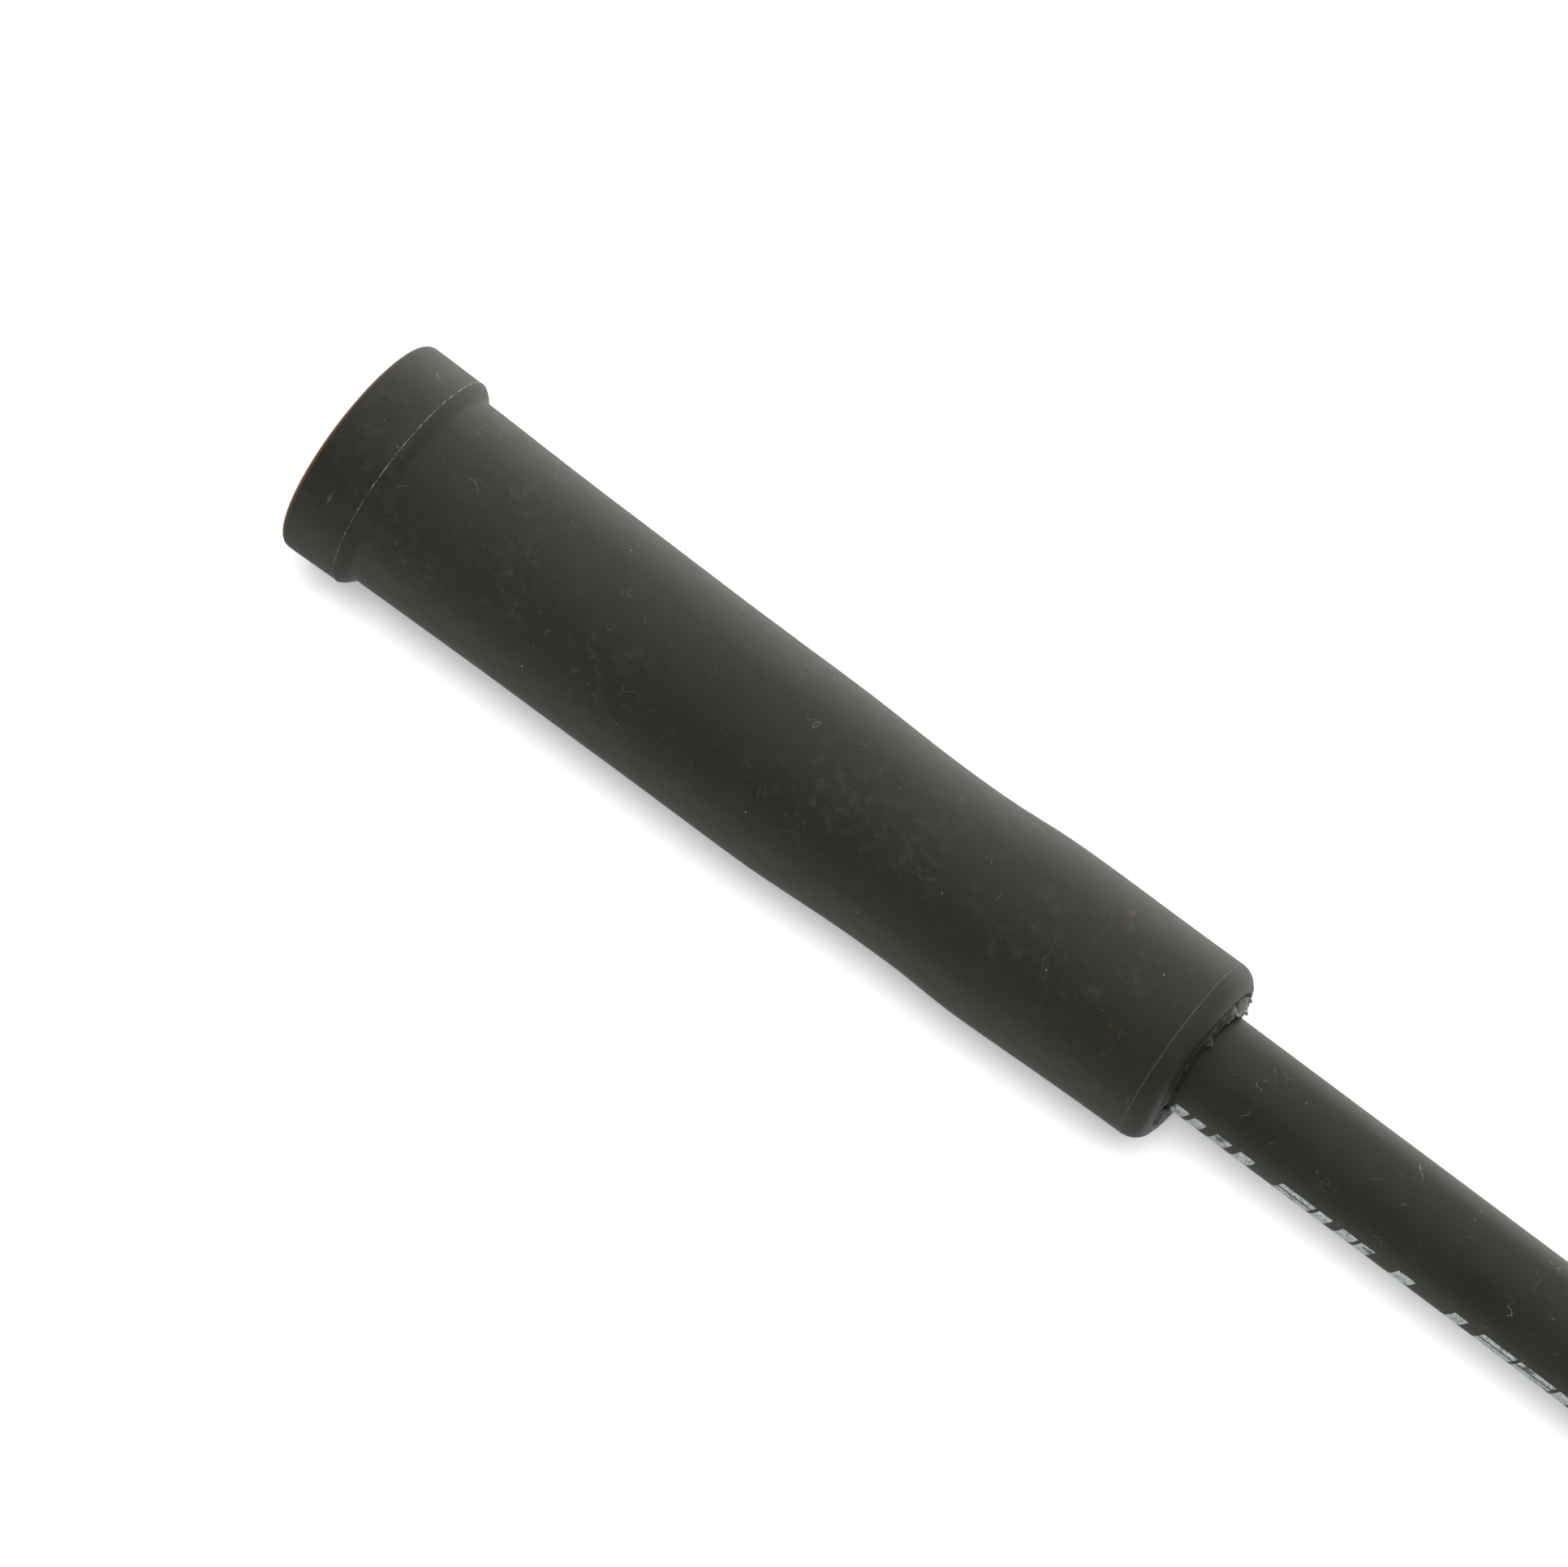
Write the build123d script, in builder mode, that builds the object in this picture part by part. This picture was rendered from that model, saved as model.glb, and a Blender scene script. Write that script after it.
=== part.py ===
from build123d import *
import math
import os

# Spark plug lead: a straight rubber plug boot over a push-on terminal, 8 mm ignition lead, and the
# distributor end with its nipple and contact. The spare lead is coiled and tied.
# Millimetres. +X runs from the plug boot's mouth to its tail, +Z is up, and z = 0 is the surface the
# lead lies on. The origin is under the middle of the plug boot. Both ends open towards -X.

os.makedirs("parts", exist_ok=True)

# ---- driving dimensions ----
boot_length = 74.5
collar_r = 8.6  # the plug boot lies on its collar, so this is also its axis height
collar_back_r = 8.52
collar_length = 4.75
step_length = 1.0  # bevel behind the collar
# plug boot body: distance from the mouth, radius
body_outline = [
    (5.75, 7.66),
    (17.5, 7.48),
    (29.0, 7.39),
    (39.4, 7.38),
    (51.1, 7.05),
    (60.0, 7.33),
    (72.5, 7.19),
]
tail_round = 2.0
rim_round = 0.4

lead_r = 4.0
lead_gap = 0.08  # running clearance between the lead and a boot's tail bore
tail_bore_r = lead_r + lead_gap
tail_mouth_r = 4.6
tail_mouth_depth = 0.6

mouth_bore_r = 5.1  # holds the plug's porcelain
mouth_lead_r = 6.0
mouth_lead_depth = 2.0
mouth_bore_end = 26.0
seal_groove_r = 5.6
seal_groove_width = 1.4
seal_groove_starts = [7.0, 4.0]
chamber_r = 4.9  # room for the terminal and its snap ring
plug_chamber_end = 57.0
chamber_taper = 2.5

# terminals: sheet 0.5 thick
sheet = 0.5
socket_start = 28.0  # from the plug boot's mouth
socket_r = 3.25  # takes a 6.35 mm plug nut with 0.075 to spare
socket_length = 11.0
socket_lip = 0.3
seam_width = 0.8
snap_groove_at = 5.0
snap_groove_width = 1.0
snap_groove_depth = 0.15
snap_wire_r = 0.4
snap_turn = 310.0
neck_length = 3.5
neck_turn = 170.0
crimp_r = lead_r
crimp_length = 12.5

# lead layers, outer radii
strand_r = 0.25
core_r = 0.55
winding_r = 0.65
insulation_r = 2.7
braid_r = 3.0
fold_rise = 3.4  # axis of the core where it is folded back under the crimp
fold_slot_r = 0.62
fold_gap = 0.2

# distributor end
nipple_length = 36.0
nipple_bead_r = 9.5
nipple_bead_length = 3.0
nipple_r = 9.0
nipple_skirt_end = 17.0
nipple_neck_start = 24.0
nipple_neck_r = 6.2
nipple_tail_r = 6.0
nipple_bore_r = 7.0
nipple_bore_end = 14.5
nipple_chamber_end = 25.7
nipple_mouth_round = 0.8
contact_start = 6.0  # from the nipple's mouth
contact_r = 3.4
contact_length = 8.0
contact_nose = 1.2
contact_slit = 0.7
contact_slit_length = 6.5
contact_neck = 2.5
contact_crimp_length = 9.0

# how the lead lies
tail_x = boot_length / 2
mouth_x = -boot_length / 2
coil_x = 115.0
coil_r = 42.0  # at the middle of the turns
coil_y = coil_r  # the straight lead runs into the coil as its tangent
bend_x = 93.0  # the straight lead starts down to the coil here
entry_z = 6.3
top_layer_z = 3 * lead_r
nipple_mouth_x = 29.0
nipple_y = coil_y + coil_r
crossing_x = 105.0  # the last stretch leaves the turn under it
landing_x = 85.0
arc_share = 0.45  # of the shorter run, taken by the arc at a corner

# the tie round the coil
tie_thickness = 1.1
tie_width = 4.8
tie_slack = 0.4
tie_head = (4.6, 5.4, 6.0)


def end_plane(x, y, z):
    """A plane through a boot's axis: its own x runs along the boot and its own y is up."""
    return Plane(origin=(x, y, z), x_dir=(1, 0, 0), z_dir=(0, -1, 0))


def boot_axis(x, y, z):
    return Axis((x, y, z), (1, 0, 0))


def corner_radii(route):
    """The largest tangent arc that each corner of a route leaves room for."""
    radii = []
    for before, corner, after in zip(route, route[1:], route[2:]):
        run_in = Vector(*corner) - Vector(*before)
        run_out = Vector(*after) - Vector(*corner)
        half_turn = math.radians(run_in.get_angle(run_out)) / 2
        shorter = min(run_in.length, run_out.length)
        radii.append(arc_share * shorter / math.tan(half_turn))
    return radii


plug_mouth = (mouth_x, 0, collar_r)
nipple_mouth = (nipple_mouth_x, nipple_y, nipple_bead_r)

# ---- plug boot ----
body_end = body_outline[-1]
bore_profile = [
    (boot_length, tail_mouth_r),
    (boot_length - tail_mouth_depth, tail_bore_r),
    (plug_chamber_end + chamber_taper, tail_bore_r),
    (plug_chamber_end, chamber_r),
    (mouth_bore_end, chamber_r),
    (mouth_bore_end, mouth_bore_r),
]
for start in seal_groove_starts:
    bore_profile += [
        (start + seal_groove_width, mouth_bore_r),
        (start + seal_groove_width, seal_groove_r),
        (start, seal_groove_r),
        (start, mouth_bore_r),
    ]
bore_profile += [(mouth_lead_depth, mouth_bore_r), (0, mouth_lead_r)]

with BuildPart() as plug_boot:
    with BuildSketch(end_plane(*plug_mouth)):
        with BuildLine():
            Line((0, mouth_lead_r), (0, collar_r - rim_round))
            RadiusArc((0, collar_r - rim_round), (rim_round, collar_r), rim_round)
            Line((rim_round, collar_r), (collar_length, collar_back_r))
            Line((collar_length, collar_back_r), body_outline[0])
            Spline(*body_outline)
            RadiusArc(body_end, (boot_length, body_end[1] - tail_round), tail_round)
            Line((boot_length, body_end[1] - tail_round), bore_profile[0])
            Polyline(*bore_profile)
        make_face()
    revolve(axis=boot_axis(*plug_mouth))

# ---- plug terminal ----
socket_x = mouth_x + socket_start
socket_mouth = (socket_x, 0, collar_r)
neck_end = socket_length + neck_length
crimp_end = neck_end + crimp_length
snap_groove_end = snap_groove_at + snap_groove_width
socket_outer_r = socket_r + sheet

with BuildPart() as plug_terminal:
    with BuildSketch(end_plane(*socket_mouth)):
        with BuildLine():
            Polyline(
                (0, socket_r + socket_lip),
                (0, socket_outer_r + socket_lip),
                (2 * socket_lip, socket_outer_r),
                (snap_groove_at, socket_outer_r),
                (snap_groove_at, socket_outer_r - snap_groove_depth),
                (snap_groove_end, socket_outer_r - snap_groove_depth),
                (snap_groove_end, socket_outer_r),
                (socket_length, socket_outer_r),
                (socket_length, socket_r),
                (2 * socket_lip, socket_r),
                close=True,
            )
        make_face()
    revolve(axis=boot_axis(*socket_mouth))
    with BuildSketch(end_plane(*socket_mouth)):
        with BuildLine():
            Polyline(
                (neck_end, crimp_r),
                (crimp_end, crimp_r),
                (crimp_end, crimp_r + sheet),
                (neck_end, crimp_r + sheet),
                close=True,
            )
        make_face()
    revolve(axis=boot_axis(*socket_mouth))
    # the sheet's seam, open along the top of the crimp and of the socket
    with BuildSketch(end_plane(*socket_mouth)):
        with Locations((crimp_end / 2, crimp_r)):
            Rectangle(2 * crimp_end, 2 * sheet + seam_width, align=(Align.CENTER, Align.CENTER))
    extrude(amount=seam_width / 2, both=True, mode=Mode.SUBTRACT)
    # the neck is a half pipe under the axis, from the socket's bottom to the crimp's
    neck_plane = end_plane(*socket_mouth).rotated((90 - neck_turn / 2, 0, 0))
    with BuildSketch(neck_plane):
        with BuildLine():
            Polyline(
                (socket_length - sheet, -socket_r),
                (neck_end + sheet, -crimp_r),
                (neck_end + sheet, -crimp_r - sheet),
                (socket_length - sheet, -socket_outer_r),
                close=True,
            )
        make_face()
    revolve(axis=boot_axis(*socket_mouth), revolution_arc=neck_turn)

with BuildPart() as terminal_snap_ring:
    with BuildSketch(end_plane(*socket_mouth).rotated((snap_turn / 2 - 180, 0, 0))):
        with Locations(
            (
                snap_groove_at + snap_groove_width / 2,
                socket_outer_r - snap_groove_depth + snap_wire_r,
            )
        ):
            Circle(snap_wire_r)
    revolve(axis=boot_axis(*socket_mouth), revolution_arc=snap_turn)

# ---- distributor nipple and contact ----
with BuildPart() as distributor_boot:
    with BuildSketch(end_plane(*nipple_mouth)):
        with BuildLine():
            Line((0, nipple_bore_r + nipple_mouth_round), (0, nipple_bead_r - nipple_mouth_round))
            RadiusArc(
                (0, nipple_bead_r - nipple_mouth_round),
                (nipple_mouth_round, nipple_bead_r),
                nipple_mouth_round,
            )
            Polyline(
                (nipple_mouth_round, nipple_bead_r),
                (nipple_bead_length, nipple_bead_r),
                (nipple_bead_length + nipple_bead_r - nipple_r, nipple_r),
                (nipple_skirt_end, nipple_r),
            )
            Spline(
                (nipple_skirt_end, nipple_r),
                (nipple_neck_start, nipple_neck_r),
                tangents=((1, 0), (1, 0)),
            )
            Line(
                (nipple_neck_start, nipple_neck_r),
                (nipple_length - tail_mouth_depth, nipple_tail_r),
            )
            Polyline(
                (nipple_length - tail_mouth_depth, nipple_tail_r),
                (nipple_length, nipple_tail_r - tail_mouth_depth),
                (nipple_length, tail_mouth_r),
                (nipple_length - tail_mouth_depth, tail_bore_r),
                (nipple_chamber_end + chamber_taper, tail_bore_r),
                (nipple_chamber_end, chamber_r),
                (nipple_bore_end, chamber_r),
                (nipple_bore_end, nipple_bore_r),
                (nipple_mouth_round, nipple_bore_r),
                (0, nipple_bore_r + nipple_mouth_round),
            )
        make_face()
    revolve(axis=boot_axis(*nipple_mouth))

contact_x = nipple_mouth_x + contact_start
contact_tip = (contact_x, nipple_y, nipple_bead_r)
contact_neck_end = contact_length + contact_neck
contact_end = contact_neck_end + contact_crimp_length

with BuildPart() as distributor_contact:
    with BuildSketch(end_plane(*contact_tip)):
        with BuildLine():
            Polyline(
                (0, contact_r - contact_nose - sheet),
                (0, contact_r - contact_nose),
                (contact_nose, contact_r),
                (contact_length, contact_r),
                (contact_length, contact_r - sheet),
                (contact_nose, contact_r - sheet),
                close=True,
            )
        make_face()
    revolve(axis=boot_axis(*contact_tip))
    with BuildSketch(end_plane(*contact_tip)):
        with BuildLine():
            Polyline(
                (contact_neck_end, crimp_r),
                (contact_end, crimp_r),
                (contact_end, crimp_r + sheet),
                (contact_neck_end, crimp_r + sheet),
                close=True,
            )
        make_face()
    revolve(axis=boot_axis(*contact_tip))
    # one slit across the tip splits it into two springy halves, and the crimp has its seam on top
    with BuildSketch(end_plane(*contact_tip).rotated((90, 0, 0))):
        with Locations((contact_slit_length / 2, 0)):
            Rectangle(contact_slit_length, 3 * contact_r)
    extrude(amount=contact_slit / 2, both=True, mode=Mode.SUBTRACT)
    with BuildSketch(end_plane(*contact_tip)):
        with Locations((contact_end, crimp_r)):
            Rectangle(2 * (contact_end - contact_length), 2 * sheet + contact_slit)
    extrude(amount=contact_slit / 2, both=True, mode=Mode.SUBTRACT)
    contact_neck_plane = end_plane(*contact_tip).rotated((90 - neck_turn / 2, 0, 0))
    with BuildSketch(contact_neck_plane):
        with BuildLine():
            Polyline(
                (contact_length - sheet, sheet - contact_r),
                (contact_neck_end + sheet, -crimp_r),
                (contact_neck_end + sheet, -crimp_r - sheet),
                (contact_length - sheet, -contact_r),
                close=True,
            )
        make_face()
    revolve(axis=boot_axis(*contact_tip), revolution_arc=neck_turn)

# ---- the lead's layers inside each boot, from where it is cut to the boot's tail ----
cut_inset = sheet  # the lead is cut this far inside its crimp
lead_ends = {
    "plug_end": (
        socket_x + neck_end + cut_inset,
        0,
        collar_r,
        tail_x,
        crimp_length - 2 * cut_inset,
    ),
    "distributor_end": (
        contact_x + contact_neck_end + cut_inset,
        nipple_y,
        nipple_bead_r,
        nipple_mouth_x + nipple_length,
        contact_crimp_length - 2 * cut_inset,
    ),
}
layers = {
    "winding": (core_r, winding_r),
    "insulation": (winding_r, insulation_r),
    "braid": (insulation_r, braid_r),
    "jacket": (braid_r, lead_r),
}
for end, (cut_x, end_y, end_z, stop_x, fold_length) in lead_ends.items():
    length = stop_x - cut_x
    cut_face = Plane(origin=(cut_x, end_y, end_z), x_dir=(0, 1, 0), z_dir=(1, 0, 0))
    for layer, (inner, outer) in layers.items():
        with BuildPart() as lead_layer:
            with BuildSketch(cut_face):
                Circle(outer)
                Circle(inner, mode=Mode.SUBTRACT)
            extrude(amount=length)
            if layer in ("braid", "jacket"):
                # the folded core has pressed a slot into the top of the lead
                with BuildSketch(cut_face):
                    with Locations((0, fold_rise)):
                        Circle(fold_slot_r)
                    with Locations((0, fold_rise + fold_slot_r)):
                        Rectangle(2 * fold_slot_r, 2 * fold_slot_r)
                extrude(amount=fold_length + fold_gap, mode=Mode.SUBTRACT)
        lead_layer.part.label = f"{end}_{layer}"
        export_step(lead_layer.part, f"parts/{end}_{layer}.step")

    for piece, (inner, outer) in {"core": (strand_r, core_r), "strands": (0, strand_r)}.items():
        with BuildPart() as folded:
            with BuildLine(end_plane(cut_x, end_y, end_z)):
                inside = Line((length, 0), (-fold_gap, 0))
                turn = JernArc(inside @ 1, inside % 1, fold_rise / 2, -180)
                Line(turn @ 1, (fold_length, fold_rise))
            with BuildSketch(Plane(origin=inside @ 0, z_dir=inside % 0)):
                Circle(outer)
                if inner:
                    Circle(inner, mode=Mode.SUBTRACT)
            sweep()
        folded.part.label = f"{end}_{piece}"
        export_step(folded.part, f"parts/{end}_{piece}.step")

# ---- the free lead: straight out of the plug boot, a coil, and the last stretch ----
routes = {
    "lead_straight": [
        (tail_x, 0, collar_r),
        (bend_x, 0, collar_r),
        (coil_x, 0, entry_z),
    ],
    "lead_tail": [
        (coil_x, nipple_y, top_layer_z),
        (crossing_x, nipple_y, top_layer_z),
        (landing_x, nipple_y, nipple_bead_r),
        (nipple_mouth_x + nipple_length, nipple_y, nipple_bead_r),
    ],
}
for stretch, route in routes.items():
    radii = corner_radii(route)
    print(stretch, "radii", [round(r) for r in radii])
    with BuildPart() as tube:
        with BuildLine():
            path = FilletPolyline(*route, radius=radii)
        with BuildSketch(Plane(origin=path @ 0, z_dir=path % 0)):
            Circle(lead_r)
        sweep()
    expected = math.pi * lead_r**2 * path.length
    print(stretch, "length", round(path.length, 1))
    print(stretch, "volume over section times length", round(tube.part.volume / expected, 4))
    tube.part.label = stretch
    export_step(tube.part, f"parts/{stretch}.step")

# one turn lies on the surface and half a turn lies on it, on the side away from the boots
coil_axis = Axis((coil_x, coil_y, 0), (0, 0, 1))
coil_section = Plane(origin=(coil_x, coil_y, 0), x_dir=(0, 1, 0), z_dir=(1, 0, 0))
with BuildPart() as lead_coil:
    with BuildSketch(coil_section):
        with Locations((coil_r, lead_r)):
            RectangleRounded(2 * lead_r, 2 * lead_r, lead_r - lead_gap)
    revolve(axis=coil_axis, revolution_arc=180)
    with BuildSketch(coil_section):
        with Locations((coil_r, 2 * lead_r)):
            RectangleRounded(2 * lead_r, 4 * lead_r, lead_r - lead_gap)
    revolve(axis=coil_axis, revolution_arc=-180)

# the tie goes round both layers where they lie furthest from the boots
tie_centre_x = coil_x + coil_r
tie_height = 4 * lead_r + tie_thickness + tie_slack
tie_outer_width = 2 * (lead_r + tie_thickness + tie_slack)
tie_plane = Plane(origin=(tie_centre_x, coil_y, tie_height / 2), x_dir=(1, 0, 0), z_dir=(0, -1, 0))
with BuildPart() as coil_tie:
    with BuildSketch(tie_plane):
        RectangleRounded(tie_outer_width, tie_height, lead_r)
        RectangleRounded(
            tie_outer_width - 2 * tie_thickness,
            tie_height - 2 * tie_thickness,
            lead_r - tie_thickness,
            mode=Mode.SUBTRACT,
        )
    extrude(amount=tie_width / 2, both=True)
    with Locations((tie_centre_x - tie_outer_width / 2, coil_y, tie_height / 2)):
        Box(*tie_head, align=(Align.MAX, Align.CENTER, Align.CENTER))

pieces = {
    "plug_boot": plug_boot,
    "plug_terminal": plug_terminal,
    "terminal_snap_ring": terminal_snap_ring,
    "distributor_boot": distributor_boot,
    "distributor_contact": distributor_contact,
    "lead_coil": lead_coil,
    "coil_tie": coil_tie,
}
for name, piece in pieces.items():
    piece.part.label = name
    export_step(piece.part, f"parts/{name}.step")
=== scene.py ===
import math

import bpy
from mathutils import Matrix, Vector, noise


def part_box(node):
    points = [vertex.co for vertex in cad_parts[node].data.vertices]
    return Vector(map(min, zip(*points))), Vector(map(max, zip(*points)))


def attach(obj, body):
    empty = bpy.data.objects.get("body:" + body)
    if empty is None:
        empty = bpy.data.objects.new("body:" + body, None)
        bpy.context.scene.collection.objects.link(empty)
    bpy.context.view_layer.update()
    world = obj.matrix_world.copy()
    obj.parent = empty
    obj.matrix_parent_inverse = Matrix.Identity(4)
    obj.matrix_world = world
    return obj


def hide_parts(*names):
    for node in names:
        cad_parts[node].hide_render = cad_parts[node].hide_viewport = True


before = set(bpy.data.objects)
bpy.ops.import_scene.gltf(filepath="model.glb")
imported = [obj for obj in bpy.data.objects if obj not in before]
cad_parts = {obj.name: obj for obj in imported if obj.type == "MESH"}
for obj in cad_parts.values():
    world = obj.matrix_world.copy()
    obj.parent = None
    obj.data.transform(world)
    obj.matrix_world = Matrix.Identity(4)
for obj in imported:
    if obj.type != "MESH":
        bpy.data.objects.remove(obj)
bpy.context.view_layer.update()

mm = 0.001

# The ignition lead: 8 mm high-tension lead with an extruded, matt black silicone rubber jacket.
# It leaves the plug boot straight, lies on the surface in one and a half turns and ends in the
# distributor boot. Slanted bars of silver ink are printed along one flank, worn and speckled.
lead_r = 4.0 * mm
lead_sides = 48
plug_low, plug_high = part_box("plug_boot")
mouth_x = plug_low.x
tail_x = plug_high.x
plug_z = (plug_low.z + plug_high.z) / 2
nipple_low, nipple_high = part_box("distributor_boot")
nipple_y = (nipple_low.y + nipple_high.y) / 2
nipple_z = (nipple_low.z + nipple_high.z) / 2

coil_centre = Vector((115.0, 42.0, 0.0)) * mm
coil_r = 42.0 * mm
coil_step = 20
# height of the lead's centre round the coil, from where it meets the coil: degrees, millimetres
coil_heights = [(0, 6.3), (35, 4.1), (60, 4.3), (90, 5.3), (120, 4.3), (150, 4.0), (235, 4.0)]
coil_heights += [(320, 13.2), (342, 15.8), (366, 15.0), (400, 12.6), (420, 12.4), (450, 13.3)]
coil_heights += [(480, 12.4), (510, 12.1), (540, 12.0)]


def coil_height(angle):
    """Height of the lead's centre at an angle round the coil, eased between the listed ones."""
    for (start, low), (end, high) in zip(coil_heights, coil_heights[1:]):
        if angle <= end:
            share = (angle - start) / (end - start)
            return (low + (high - low) * share * share * (3 - 2 * share)) * mm
    return coil_heights[-1][1] * mm


route = [
    Vector((tail_x, 0, plug_z)),
    Vector((58.0 * mm, -0.28 * mm, plug_z)),
    Vector((93.0 * mm, -0.9 * mm, plug_z)),
    Vector((112.0 * mm, -0.6 * mm, 6.6 * mm)),
]
for angle in range(coil_step, 541, coil_step):
    swell = 0.5 * mm * math.sin(math.radians(angle * 0.9))
    turn_r = (coil_r + swell) / math.cos(math.radians(coil_step / 2))
    around = math.radians(angle - 90)
    spot = coil_centre + turn_r * Vector((math.cos(around), math.sin(around), 0))
    route.append(Vector((spot.x, spot.y, coil_height(angle))))
route += [
    Vector((101.0 * mm, nipple_y, 12.0 * mm)),
    Vector((84.0 * mm, nipple_y, nipple_z)),
    Vector((72.0 * mm, nipple_y, nipple_z)),
    Vector((nipple_high.x, nipple_y, nipple_z)),
]

lead_line = bpy.data.curves.new("lead_line", "CURVE")
lead_line.dimensions = "3D"
lead_line.resolution_u = 14
spline = lead_line.splines.new("NURBS")
spline.points.add(len(route) - 1)
for point, place in zip(spline.points, route):
    point.co = (*place, 1)
spline.order_u = 3
spline.use_endpoint_u = True
line_object = bpy.data.objects.new("lead_line", lead_line)
bpy.context.scene.collection.objects.link(line_object)
bpy.context.view_layer.update()
line_mesh = bpy.data.meshes.new_from_object(line_object)
centres = [vertex.co.copy() for vertex in line_mesh.vertices]
bpy.data.objects.remove(line_object)
bpy.data.meshes.remove(line_mesh)


def lead_tube(name, centres, radius, sides):
    """A mesh tube through the centres, with its length and its girth in millimetres as UV map."""
    corners, faces, uvs = [], [], []
    travelled = [0.0]
    for before, here in zip(centres, centres[1:]):
        travelled.append(travelled[-1] + (here - before).length / mm)
    girth = 2 * math.pi * radius / mm / sides
    for index, centre in enumerate(centres):
        ahead = centres[min(index + 1, len(centres) - 1)] - centres[max(index - 1, 0)]
        ahead.normalize()
        side = ahead.cross(Vector((0, 0, 1))).normalized()
        rise = side.cross(ahead)
        for k in range(sides):
            turn = 2 * math.pi * k / sides
            corners.append(centre + radius * (math.cos(turn) * rise + math.sin(turn) * side))
    for index in range(len(centres) - 1):
        near, far = travelled[index], travelled[index + 1]
        for k in range(sides):
            a = index * sides + k
            b = index * sides + (k + 1) % sides
            faces.append((a, b, b + sides, a + sides))
            low, high = k * girth, (k + 1) * girth
            uvs += [(near, low), (near, high), (far, high), (far, low)]
    last = (len(centres) - 1) * sides
    faces.append(tuple(range(sides - 1, -1, -1)))
    faces.append(tuple(range(last, last + sides)))
    uvs += [(0, 0)] * sides + [(travelled[-1], 0)] * sides
    mesh = bpy.data.meshes.new(name)
    mesh.from_pydata(corners, [], faces)
    layer = mesh.uv_layers.new(name="lead_uv")
    for loop, uv in zip(layer.data, uvs):
        loop.uv = uv
    tube = bpy.data.objects.new(name, mesh)
    bpy.context.scene.collection.objects.link(tube)
    return tube


def edit(piece):
    """Makes one piece the only selected one and opens it in edit mode with nothing selected."""
    bpy.ops.object.select_all(action="DESELECT")
    piece.select_set(True)
    bpy.context.view_layer.objects.active = piece
    bpy.ops.object.mode_set(mode="EDIT")
    bpy.ops.mesh.select_all(action="DESELECT")


def face_outward(piece, smooth_angle):
    """Turns all of a finished piece's faces outward and shades it smooth up to an angle."""
    edit(piece)
    bpy.ops.mesh.select_all(action="SELECT")
    bpy.ops.mesh.normals_make_consistent(inside=False)
    bpy.ops.object.mode_set(mode="OBJECT")
    bpy.ops.object.shade_smooth_by_angle(angle=math.radians(smooth_angle))
    bpy.ops.object.select_all(action="DESELECT")


def linear(value):
    """An sRGB hex colour as linear red, green, blue and alpha."""
    parts = [int(value[start : start + 2], 16) / 255 for start in (1, 3, 5)]
    return (*(c / 12.92 if c <= 0.04045 else ((c + 0.055) / 1.055) ** 2.4 for c in parts), 1)


def add(tree, kind, settings=None, links=None):
    """Adds a node: settings by property name or socket, links by socket."""
    node = tree.nodes.new(kind)
    for key, value in (settings or {}).items():
        if isinstance(key, str) and hasattr(node, key):
            setattr(node, key, value)
        else:
            node.inputs[key].default_value = value
    for key, source in (links or {}).items():
        tree.links.new(source, node.inputs[key])
    return node


def new_material(name):
    """An empty material with its output and a Principled shader joined to it."""
    material = bpy.data.materials.new(name)
    material.use_nodes = True
    tree = material.node_tree
    tree.nodes.clear()
    shader = tree.nodes.new("ShaderNodeBsdfPrincipled")
    output = tree.nodes.new("ShaderNodeOutputMaterial")
    tree.links.new(shader.outputs["BSDF"], output.inputs["Surface"])
    return material, tree, shader


def finish_with(piece, material):
    """Gives a piece one material in place of any that it has."""
    piece.data.materials.clear()
    piece.data.materials.append(material)


# Silicone rubber jacket, extruded: a dark charcoal with a dull bloom, a little smoother than the
# moulded boot. Handling leaves pale hair-thin scuffs, lint and dust on it.
jacket_rubber, tree, shader = new_material("extruded_silicone_jacket")
place = add(tree, "ShaderNodeTexCoord")
uv = add(tree, "ShaderNodeUVMap", {"uv_map": "lead_uv"})
along = add(tree, "ShaderNodeSeparateXYZ", links={0: uv.outputs["UV"]})
in_mm = add(
    tree, "ShaderNodeVectorMath", {"operation": "SCALE", "Scale": 1000}, {0: place.outputs["Object"]},
)
bloom = add(
    tree, "ShaderNodeTexNoise", {"Scale": 0.12, "Detail": 4, "Roughness": 0.6}, {0: in_mm.outputs[0]},
)
bloom_colour = add(tree, "ShaderNodeValToRGB", links={0: bloom.outputs["Fac"]})
bloom_colour.color_ramp.elements[0].position = 0.35
bloom_colour.color_ramp.elements[0].color = linear("#191814")
bloom_colour.color_ramp.elements[1].position = 0.68
bloom_colour.color_ramp.elements[1].color = linear("#1F1E1A")
# dust: one grain in each few cells of 0.9 mm, about 0.1 mm across
grains = add(tree, "ShaderNodeTexVoronoi", {"Scale": 1.1, "Randomness": 1.0}, {0: in_mm.outputs[0]})
grain_dot = add(
    tree, "ShaderNodeMath", {"operation": "LESS_THAN", 1: 0.065}, {0: grains.outputs["Distance"]},
)
grain_pick = add(tree, "ShaderNodeSeparateXYZ", links={0: grains.outputs["Color"]})
grain_few = add(tree, "ShaderNodeMath", {"operation": "GREATER_THAN", 1: 0.8}, {0: grain_pick.outputs[0]})
dust = add(
    tree, "ShaderNodeMath", {"operation": "MULTIPLY"},
    {0: grain_dot.outputs[0], 1: grain_few.outputs[0]},
)
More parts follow.
